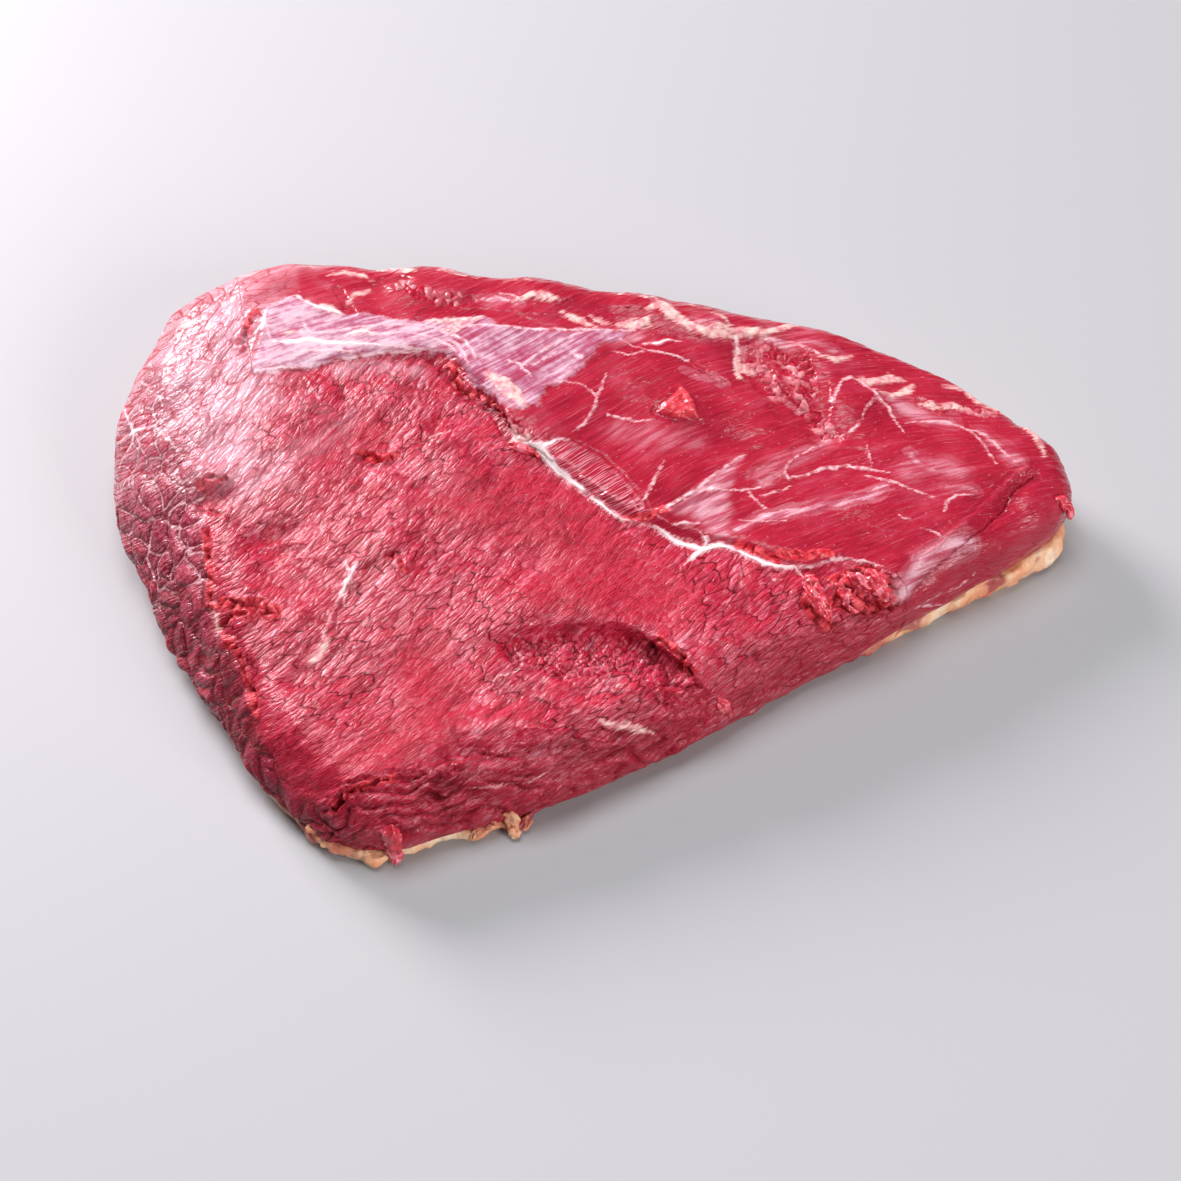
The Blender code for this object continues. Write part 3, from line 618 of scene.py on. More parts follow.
creases = [
    # grooves (minus) and ridges (plus): line, half width, height
    ([(541, 458), (558, 478), (584, 499), (604, 515), (623, 528)], 0.7, -0.8),
    ([(653, 532), (678, 549), (694, 566)], 0.7, -0.7),
    ([(702, 556), (720, 551), (747, 562), (778, 575), (820, 571), (865, 567)], 0.7, -0.7),
    ([(446, 373), (458, 384), (470, 396), (486, 402), (500, 416), (509, 438)], 1.2, -2.0),
    ([(450, 362), (462, 378), (482, 391), (500, 404), (508, 420)], 1.0, 1.3),
    ([(553, 441), (572, 441), (598, 455), (617, 471), (641, 500), (646, 514)], 0.7, -0.9),
    (
        [
            (1032, 479), (1020, 487), (1010, 496), (1004, 508), (984, 527), (959, 547), (930, 574),
            (907, 604),
        ],
        1.4, -1.5,
    ),
    ([(1026, 468), (1012, 480), (998, 494), (975, 516), (950, 536), (922, 562)], 2.2, 1.6),
    (
        [(464, 752), (501, 755), (532, 752), (554, 749), (569, 744), (599, 737), (650, 732), (700, 722)],
        1.1, -1.9,
    ),
    ([(440, 745), (470, 744), (500, 746), (530, 744)], 1.2, 0.7),
    (
        [(410, 773), (450, 780), (470, 773), (507, 780), (547, 773), (573, 767), (613, 753), (660, 740)],
        1.0, -1.5,
    ),
    ([(440, 787), (470, 792), (500, 800), (520, 806)], 0.9, -1.2),
    ([(330, 812), (363, 782), (392, 776), (416, 778), (450, 784)], 0.9, -1.0),
    ([(322, 808), (363, 776), (392, 769), (440, 772), (470, 764)], 1.2, 1.2),
    ([(398, 786), (424, 792), (445, 806), (436, 822), (410, 826)], 0.9, -1.2),
    ([(408, 800), (424, 806), (428, 816)], 0.8, 0.9),
    ([(360, 800), (380, 812), (400, 834)], 0.9, -1.1),
    ([(560, 760), (600, 752), (640, 752), (690, 734)], 0.8, -1.1),
    ([(545, 790), (580, 776), (610, 766), (650, 757)], 0.8, 0.9),
    ([(507, 806), (527, 797), (560, 785), (587, 784)], 1.6, 1.3),
    ([(500, 812), (520, 814), (545, 816), (575, 802), (590, 790)], 0.9, -1.3),
    ([(527, 728), (550, 730), (580, 736), (604, 740)], 1.6, 1.2),
    ([(610, 758), (650, 752), (700, 736), (740, 722)], 0.8, -0.8),
    ([(640, 770), (690, 750), (740, 730)], 0.8, -0.8),
    ([(265, 750), (290, 730), (312, 712), (331, 697)], 1.0, 1.0),
    ([(314, 738), (335, 725), (353, 713)], 0.8, 0.7),
    ([(300, 800), (296, 780), (285, 756)], 0.8, 0.6),
    ([(263, 552), (283, 548), (302, 546)], 0.8, -1.3),
    ([(298, 563), (305, 567), (320, 562)], 0.6, -0.8),
    ([(200, 498), (210, 495), (222, 489), (228, 485)], 0.8, -1.5),
    ([(202, 486), (214, 478), (226, 479)], 0.8, 1.2),
    ([(222, 560), (240, 548), (256, 538), (280, 530)], 0.7, -0.9),
    ([(238, 636), (255, 625), (270, 612)], 0.7, -1.0),
    ([(210, 628), (224, 622), (232, 612)], 0.8, -1.2),
    ([(358, 566), (352, 582), (340, 600), (332, 622)], 0.6, -0.5),
    ([(375, 556), (368, 575), (360, 596)], 0.6, -0.9),
    ([(338, 617), (345, 600), (352, 585)], 0.5, -0.6),
    ([(360, 458), (378, 464), (398, 459)], 0.8, -1.1),
    ([(358, 450), (376, 454), (396, 450)], 0.8, 0.9),
    ([(504, 634), (541, 631), (581, 628), (627, 628), (655, 636), (684, 656), (700, 672)], 1.0, 0.6),
    ([(647, 650), (664, 662), (672, 682)], 1.3, -1.6),
    ([(590, 642), (598, 660), (606, 680), (618, 690)], 0.8, -0.9),
    ([(630, 662), (650, 684), (668, 702)], 0.7, -0.9),
    ([(540, 642), (552, 660), (580, 676)], 0.7, -0.7),
    ([(512, 650), (522, 664), (508, 676), (496, 690)], 0.7, -0.7),
    ([(664, 688), (672, 696), (676, 706)], 1.0, 0.9),
    ([(656, 410), (660, 418), (676, 421), (698, 422)], 0.8, -1.2),
    ([(662, 408), (670, 396), (680, 388), (690, 402), (699, 416)], 0.9, 0.9),
    ([(806, 592), (808, 606), (820, 626), (840, 628)], 0.9, -1.8),
    ([(838, 596), (842, 610), (856, 618), (880, 614), (898, 604)], 0.9, -2.0),
    ([(862, 574), (868, 590), (872, 606)], 0.8, -1.6),
    ([(812, 596), (836, 596)], 1.0, 1.2),
    ([(868, 574), (880, 578), (896, 596)], 1.0, 1.0),
    ([(766, 372), (776, 392), (796, 410), (816, 428)], 0.8, -1.6),
    ([(752, 372), (764, 394), (770, 398)], 0.7, -1.4),
    ([(806, 362), (810, 380), (808, 398)], 0.7, -1.4),
    ([(780, 354), (784, 372), (786, 392)], 0.6, -1.1),
    ([(800, 356), (804, 374)], 0.6, -1.0),
    ([(824, 380), (826, 400), (824, 420)], 0.7, -1.0),
    ([(706, 376), (720, 385), (740, 384)], 1.0, -1.0),
    ([(684, 362), (700, 370), (724, 384)], 1.2, -1.0),
    ([(836, 456), (846, 452), (858, 452), (862, 458)], 0.8, -1.2),
    ([(338, 290), (346, 304), (352, 314)], 0.9, -1.6),
    ([(420, 318), (430, 309), (445, 306), (470, 300)], 0.9, -1.5),
    ([(376, 284), (392, 276), (408, 280)], 0.9, -1.0),
    ([(455, 312), (480, 312), (520, 317), (560, 320)], 0.8, -1.0),
    ([(520, 310), (545, 320), (580, 326)], 0.8, 0.9),
    ([(560, 304), (590, 306), (640, 312)], 0.8, -0.9),
    ([(680, 338), (700, 342), (716, 340)], 0.8, -0.9),
    ([(243, 350), (250, 332), (258, 314)], 1.0, -1.4),
    ([(224, 430), (214, 415), (198, 412)], 0.4, -0.6),
    ([(211, 452), (212, 436), (218, 422)], 0.5, -0.9),
    ([(239, 420), (244, 430), (252, 432)], 0.5, -0.8),
    ([(258, 372), (240, 382), (228, 380), (224, 368), (232, 358)], 0.4, -0.6),
    ([(216, 302), (226, 316), (220, 330)], 0.4, -0.5),
    ([(190, 352), (204, 340), (214, 330)], 0.4, -0.5),
    ([(300, 380), (312, 398), (316, 410)], 0.8, -0.7),
    ([(340, 390), (350, 412), (340, 420)], 0.8, -0.6),
    ([(372, 386), (384, 404), (388, 424)], 0.8, -0.6),
    ([(420, 380), (428, 404), (424, 420)], 0.7, -0.6),
    ([(463, 396), (458, 410), (452, 418)], 0.6, -0.9),
    ([(474, 398), (466, 414)], 0.6, -0.8),
    ([(486, 404), (478, 420)], 0.6, -0.8),
    ([(700, 600), (730, 612), (760, 610)], 0.6, -0.6),
    ([(690, 640), (730, 652), (768, 650)], 0.6, -0.7),
    ([(722, 660), (740, 668), (752, 680)], 0.6, -0.6),
    ([(768, 580), (780, 592), (776, 610)], 0.6, -0.7),
]


def insideAny(points, items, reach=farMm):
    # the deepest place inside any of the lines
    best = np.full(len(points), -reach)
    for line, halfWidths in items:
        best = np.maximum(best, lineField(points, onMeat(line), halfWidths, reach))
    return best


closings = {
    # corners beyond the meat, in plan and mm, that close an outline
    "right": ([(-118, 160), (-116, 92)], [(97, -26), (112, -60), (190, -60), (190, 160)]),
    "cut": [(-75, -125), (-190, -125), (-190, 120), (-140, 120), (-122, 60), (-118, 25)],
    "lip": [(190, -20), (190, -170), (-100, -170)],
}
packedFields = {
    # each attribute of the meshes carries three fields
    "region": ("right", "cut", "dome"), "marks": ("skinMm", "fatMm", "tornMm"),
    # one attribute carries painted shade in creases, painted shade in hollows and painted light on rises, and
    # a film that is partly painted sheen
    "lobes": ("lobeMm", "lobeTone", "lumpTone"), "paintedLightAndFilm": ("crease", "hollow", "film"),
    "sides": ("wall", "lumpMm", "band"), "lines": ("lineMm", "velvet", "fresh"),
    "edges": ("nearSide", "pit", "flap"),
}


def leanFields(points, normals):
    # what the shape and the colour of the lean depend on, for each vertex
    plan = points[:, :2]
    level = normals[:, 2]
    field = {}
    wander = bentBy(points, 7, 1.0, 11) - points
    ragged = points + 0.5 * wander + 0.35 * (bentBy(points, 2.2, 1.0, 15) - points)
    placed = {name: onMeat(line)[:, :2] for name, line in outlines.items()}
    # the right muscle lies beyond the seam and the edge of the silver skin
    first, last = closings["right"]
    border = np.vstack([first, placed["skinEdge"], placed["seam"][1:], last])
    field["right"] = smooth(patchField(plan, border), -0.3, 0.3)
    cutEnd = np.vstack([placed["rim"], closings["cut"]])
    field["cut"] = smooth(patchField(plan, cutEnd) + 1.5 * wander[:, 0], -0.8, 0.8)
    # the domed part of the broad end, paler with a film and a painted sheen, weaker where it faces the back
    field["dome"] = smooth(points[:, 1] + 8 * wander[:, 1], -10, 30)
    broad = smooth(-points[:, 0] + 10 * wander[:, 2], 84, 118)
    field["dome"] *= broad * (1 - 0.6 * smooth(normals[:, 1], 0.45, 0.85))
    field["band"] = smooth(patchField(plan, placed["band"]), -0.3, 0.6)
    top = smooth(level, 0.15, 0.4)
    back = smooth(normals[:, 1], 0.1, 0.5) * smooth(points[:, 1] - 0.3 * points[:, 0], 60, 85)
    backFat = 2.4 * (softNoise(points, (17, 17, 7), 17, 2) - 0.5)
    backFat += softNoise(points, (5, 5, 2.5), 18, 2)
    backFat = np.where(back > 0.5, np.clip(backFat, -farMm, 2), -farMm)
    field["fatMm"] = np.maximum(insideAny(ragged, creamFat), backFat)
    field["lineMm"] = insideAny(points + 0.3 * (bentBy(points, 2.5, 1.0, 19) - points), tissueLines, 3.0)
    field["tornMm"] = insideAny(points + 0.8 * wander, tornMeat)
    field["lumpMm"] = insideAny(points + 0.8 * wander, lumpyMeat)
    skin = patchField(ragged[:, :2], placed["skin"])
    field["lineMm"] += 0.12 * field["right"] + 0.15 * smooth(skin, -1, 1)
    field["skinMm"] = np.where(top > 0.4, np.clip(skin, -farMm, farMm), -farMm)
    fan = patchField(ragged[:, :2], placed["fan"])
    # a film over the muscle: the fan is membrane, the streaks are partly membrane and partly painted sheen
    film = 0.6 * smooth(fan, -1.5, 3.0)
    for line, halfWidth, strength in filmAndSheenStreaks:
        inside = lineField(points + 1.3 * wander, onMeat(line), halfWidth, 20)
        film = np.maximum(film, strength * smooth(inside, -halfWidth * 0.3, halfWidth * 0.8))
    field["film"] = film
    field["flap"] = smooth(patchField(ragged[:, :2], placed["flap"]), -0.6, 2.2)
    leftGrain = grainCoordinates(points, grainGuides["left"])
    rightGrain = grainCoordinates(points, grainGuides["right"])
    field["grain"] = np.where(field["right"][:, None] > 0.5, rightGrain + 400, leftGrain)
    # the finish uses two of them, with the height mixed in so that steep sides are not stretched
    field["weave"] = field["grain"] @ np.array([[1, 0, 0], [0, 1, 0], [0.6, 0.9, 0]])
    lip = patchField(plan + 2 * wander[:, :2], np.vstack([placed["lip"], closings["lip"]]))
    field["lipMm"] = lip
    field["nearSide"] = smooth(lip, -2, 4) * smooth(-points[:, 0], -110, -60)
    field["velvet"] = smooth(insideAny(points, velvetMeat, 20), -14, 6)
    field["pit"] = smooth(patchField(ragged[:, :2], placed["pit"]), -0.2, 1.6)
    # the cut end's pale lines and dust grow towards its top: painted sheen carried down from the dome
    low, high = onMeat([(190, 640), (170, 540)])[:, 1]
    field["fresh"] = smooth(points[:, 1] + 5 * wander[:, 2], low, high)
    field["wall"] = smooth(-level, -0.6, -0.2)
    return field


reliefSizes = {
    # sizes along and across the fibres, then height
    "bumps": (20, 7, 0.36), "strand": (13, 2.3, 0.16), "fineStrand": (5, 1.0, 0.06),
    "crinkle": (12, 4.2, 0.14), "crack": (16, 5.0, 0.16), "bandStrand": (9, 1.3, 0.3),
    # size, then height; the pit has its depth too
    "swell": (26, 0.8), "lobe": (7.6, 1.0), "torn": (4.0, 2.6), "lump": (2.6, 0.8), "fold": (5.0, 1.5),
    "pit": (3.2, 1.3, 1.0),
    # heights
    "cellStep": 0.08, "domeLobe": 0.15, "lobeStep": 0.7, "flap": 1.6, "line": 0.25, "skin": 0.3,
}
# widths of the gaps between cells, as shares of a cell
gapWidths = {"crinkle": 0.11, "crack": 0.075, "lobe": 0.2, "torn": 0.14, "pit": 0.16, "lump": 0.18}


def leanRelief(points, field):
    # how far the surface stands out, in mm
    s = reliefSizes
    gap = gapWidths
    grain = field["grain"]
    cut = field["cut"]
    left = 1 - field["right"]
    fibre = (1 - cut) * (1 - smooth(field["skinMm"], -0.5, 1)) * (1 - smooth(field["fatMm"], -0.5, 0.5))
    rise = s["swell"][1] * softNoise(points, s["swell"][0], 3, 2)
    slow = rise.copy()
    along, across, height = s["bumps"]
    rise += height * (0.45 + 0.55 * left) * softNoise(grain, (along, across, across), 5, 2)
    for seed, name in ((21, "strand"), (22, "fineStrand")):
        along, across, height = s[name]
        rise += height * fibre * softNoise(grain, (along, across, across), seed)
    # flat cells between shallow creases, in patches
    along, across, height = s["crinkle"]
    bent = bentBy(grain, 4, 0.7, 31)
    border, tone = cellField(bent, (along, across, across), 41)
    patchy = 0.1 + 0.9 * smooth(softNoise(points, 18, 43, 2), -0.1, 0.4)
    patchy = np.maximum(patchy, 0.6 * field["dome"])
    crinkle = valley(border, gap["crinkle"]) * fibre * left * patchy
    rise -= height * crinkle
    rise += s["cellStep"] * fibre * left * (tone - 0.5)
    # open cracks: short lengths of the borders of long cells
    along, across, height = s["crack"]
    border = cellField(bentBy(grain, 6, 1.2, 45), (along, across, across), 47)[0]
    crack = valley(border, gap["crack"]) * smooth(softNoise(grain, (9, 5, 5), 49), -0.05, 0.3)
    crack *= fibre * left * (1 - 0.8 * field["velvet"]) * (1 - 0.85 * field["dome"])
    rise -= height * crack
    # lobes of the cut end: bundles of fibre seen end on
    size, height = s["lobe"]
    deepness = height + (s["domeLobe"] - height) * field["dome"]
    border, tone = cellField(bentBy(points, 8, 1.5, 51), (size, size * 1.25, size * 0.9), 61)
    rise += cut * (0.7 - valley(border, gap["lobe"], 1.4)) * deepness
    rise += cut * s["lobeStep"] * (tone - 0.5) * (1 - 0.7 * field["dome"])
    field["lobeMm"] = np.where(cut > 0.02, border * size, farMm)
    field["lobeTone"] = tone
    # torn and lumpy places
    size, height = s["torn"]
    border, tone = cellField(bentBy(points, 3, 0.7, 71), size, 73)
    torn = smooth(field["tornMm"], -0.4, 1.0)
    tornGap = torn * valley(border, gap["torn"])
    rise += torn * height * (tone - 0.4) - 0.35 * height * tornGap
    # a pit where a piece was pulled off, rough inside
    size, height, depth = s["pit"]
    border, tone = cellField(bentBy(points, 3, 0.9, 85), (size, size * 0.6, size * 0.6), 87)
    pitRise = height * (tone - 0.5) - 0.6 * height * valley(border, gap["pit"])
    rise += field["pit"] * (pitRise - depth)
    # grainy lumps
    size, height = s["lump"]
    border, tone = cellField(bentBy(points, 3, 0.5, 75), size, 77)
    lump = smooth(field["lumpMm"], -0.5, 0.8)
    lumpGap = lump * valley(border, gap["lump"])
    rise += height * (lump * (0.45 + 0.7 * (tone - 0.5)) - lumpGap)
    field["lumpTone"] = tone
    # the near side lies in folds along the edge
    size, height = s["fold"]
    wave = field["lipMm"] - 0.8 * points[:, 2] + 5.0 * softNoise(points, (46, 46, 16), 81, 2)
    wave += 1.6 * softNoise(points, (13, 13, 6), 82, 2)
    folds = 1 - np.abs(np.sin(np.pi * wave / size))
    foldPatch = field["nearSide"] * smooth(softNoise(points, 14, 83, 2), -0.7, 0.1)
    rise += foldPatch * height * (0.45 - folds**1.6)
    # single lines
    bent = bentBy(points, 4, 0.35, 91)
    lines = np.zeros(len(points))
    for line, halfWidth, height in creases:
        inside = lineField(bent, onMeat(line), halfWidth, 4)
        lines += height * np.exp(-(((halfWidth - inside) / halfWidth) ** 2) * 1.4)
    rise += lines
    # what lies on the muscle stands a little above it
    rise += smooth(field["fatMm"], -0.8, 1.2) * (0.3 + 0.35 * softNoise(points, 4.0, 95, 2))
    rise += s["line"] * smooth(field["lineMm"], -0.5, 0.8)
    rise += s["flap"] * field["flap"] * (0.9 + 0.5 * softNoise(points, 3, 97, 2))
    rise += s["skin"] * smooth(field["skinMm"], -0.5, 1.5)
    along, across, height = s["bandStrand"]
    rise += height * field["band"] * softNoise(grain, (along, across, across), 23)
    # painted shade: the colour is darker in the gaps, creases, grooves and folds
    dark = 0.35 * crinkle + 0.3 * crack + 0.6 * np.clip(-lines, 0, 1.2) + 0.5 * foldPatch * folds**3
    dark += 0.8 * tornGap + 0.8 * lumpGap
    field["crease"] = np.clip(dark, 0, 1)
    # painted shade and light: how far a place lies below the slow swell, for darker hollows and lighter rises
    field["hollow"] = np.clip((slow - rise) * 0.5, -1, 1)
    return rise


def regionMeshes(mesh, points, normals, field, groups):
    # cuts the lean along its muscles into meshes that share their border points
    corners = np.empty(len(mesh.loops), np.int64)
    mesh.loops.foreach_get("vertex_index", corners)
    corners = corners.reshape(-1, 4)
    packed = {"weave": field["weave"]}
    for key, parts in packedFields.items():
        packed[key] = np.column_stack([field[part] for part in parts])
    made = []
    for number, name in enumerate(groups["names"]):
        chosen = corners[groups["of"][corners[:, 0]] == number]
        used, index = np.unique(chosen, return_inverse=True)
        fields = {key: values[used] for key, values in packed.items()}
        made.append(quadMesh(name, points[used], index.reshape(-1, 4), fields, normals[used]))
        print("  ", name, len(chosen) * 2, "triangles")
    return made


print("lean: fields and relief")
leanMesh = subdivided(leanMesh, 3)
leanPoints = readPoints(leanMesh)
leanNormals = readNormals(leanMesh)
leanField = leanFields(leanPoints, leanNormals)
leanRise = leanRelief(leanPoints, leanField)
# the foot and the underside stay as they are, to rest on the fat
footFade = smooth(leanPoints[:, 2], 3.2, 6.5) * smooth(leanNormals[:, 2], -0.75, -0.2)
leanNew = leanPoints + leanNormals * (leanRise * footFade)[:, None]
writePoints(leanMesh, leanNew)
leanTree = treeOf(leanMesh)
# each muscle in two, which keeps every piece under 200,000 triangles
halfLine = {"left": -22, "right": 10}
leanGroups = {
    "names": (
        "leftMuscleBroad", "leftMuscleTip", "rightMuscleBroad", "rightMuscleTip",
        "cutEnd", "muscleSide", "muscleUnder",
    ),
    "of": np.select(
        [leanNormals[:, 2] < -0.6, leanField["cut"] > 0.5, leanField["wall"] > 0.5, leanField["right"] > 0.5],
        [6, 4, 5, 2 + (leanPoints[:, 0] > halfLine["right"])], leanPoints[:, 0] > halfLine["left"],
    ),
}
leanMeshes = regionMeshes(leanMesh, leanNew, readNormals(leanMesh), leanField, leanGroups)


# Materials

def hexColour(text):
    # an sRGB hex value as linear light
    parts = [int(text[i : i + 2], 16) / 255 for i in (1, 3, 5)]
    linear = [c / 12.92 if c <= 0.04045 else ((c + 0.055) / 1.055) ** 2.4 for c in parts]
    return (*linear, 1)


def addNode(tree, kind, links, output=0, **settings):
    # adds one node, sets or links its inputs and gives one output. Inputs by number: Math 0 to 2 its
    # terms; MapRange 0 the signal, 1 and 2 its range, 3 and 4 what comes out; Mix 0 the share, 6 and 7 tints
    node = tree.nodes.new("ShaderNode" + kind)
    for name, value in settings.items():
        setattr(node, name, value)
    for key, value in links.items():
        if isinstance(value, bpy.types.NodeSocket):
            tree.links.new(value, node.inputs[key])
        else:
            node.inputs[key].default_value = value
    return node.outputs[output]


def newMaterial(name, sockets):
    # a material with its node tree, its shader and the function that adds a node to it
    made = bpy.data.materials.new(name)
    made.use_nodes = True
    shader = made.node_tree.nodes["Principled BSDF"]
    for key, value in sockets.items():
        shader.inputs[key].default_value = value
    return made, made.node_tree, shader, partial(addNode, made.node_tree)


def summed(add, parts):
    # signals added up, each times its share
    total = 0.0
    for signal, share in parts:
        total = add("Math", {0: signal, 1: share, 2: total}, operation="MULTIPLY_ADD")
    return total


def stacked(add, base, layers):
    # tints laid over one another, each where its mask is
    colour = base
    for mask, over in layers:
        colour = add("Mix", {0: mask, 6: colour, 7: over}, 2, data_type="RGBA")
    return colour


def banded(add, signal, base, bands):
    # a tint that gives way to others as a signal rises: where each starts and is full, and its colour
    return stacked(add, hexColour(base), [
        (add("MapRange", {0: signal, 1: low, 2: high}, interpolation_type="SMOOTHSTEP"), hexColour(over))
        for low, high, over in bands
    ])


beefColours = {
    # the darkest two reds are painted shade for creases, gaps, hollows and the near side; dark also shades
    # the velvet places, light also lights the rises, and pale and the dome film are partly painted sheen
    "crack": "#56000a", "deep": "#6e000f", "dark": "#9c0a22", "mid": "#b61c38",
    "light": "#cf5069", "pale": "#eea8b8", "side": "#a01a30",
    "rightDeep": "#7e0a1e", "rightMid": "#a61c34", "rightLight": "#ca5c72", "rightPale": "#e89aa8",
    "cutDark": "#720c1c", "cutMid": "#9c283e", "cutDust": "#c8687e", "cutLine": "#f4bcc6",
    "domeFilmSheen": "#f4c4d2", "lilac": "#ae6a86", "skinWhite": "#e2c4d2", "skinRed": "#a43652",
    "filmRed": "#bc5674", "filmWhite": "#efc2d0", "white": "#faeeee", "thread": "#eebcc4",
    "cream": "#f3d0c6", "peach": "#e2929a", "lumpPale": "#eb9aa2", "torn": "#f0545f", "tornDark": "#c61a2a",
}
beefSurface = {
    # heights of the finest relief in mm, then its strength without and with a film, left and right
    "heights": {"stroke": 0.16, "fine": 0.16, "pillow": 0.17, "finePillow": 0.1},
    "filmCalm": (0.85, 0.3), "rightCalm": (1.0, 0.4),
    # roughness by tone, what the right muscle and the cut end add to it, and the wet coat's, left and right
    "rough": (0.6, 0.42), "rightRough": -0.15, "cutRough": 0.12, "coatRough": (0.2, 0.09),
}


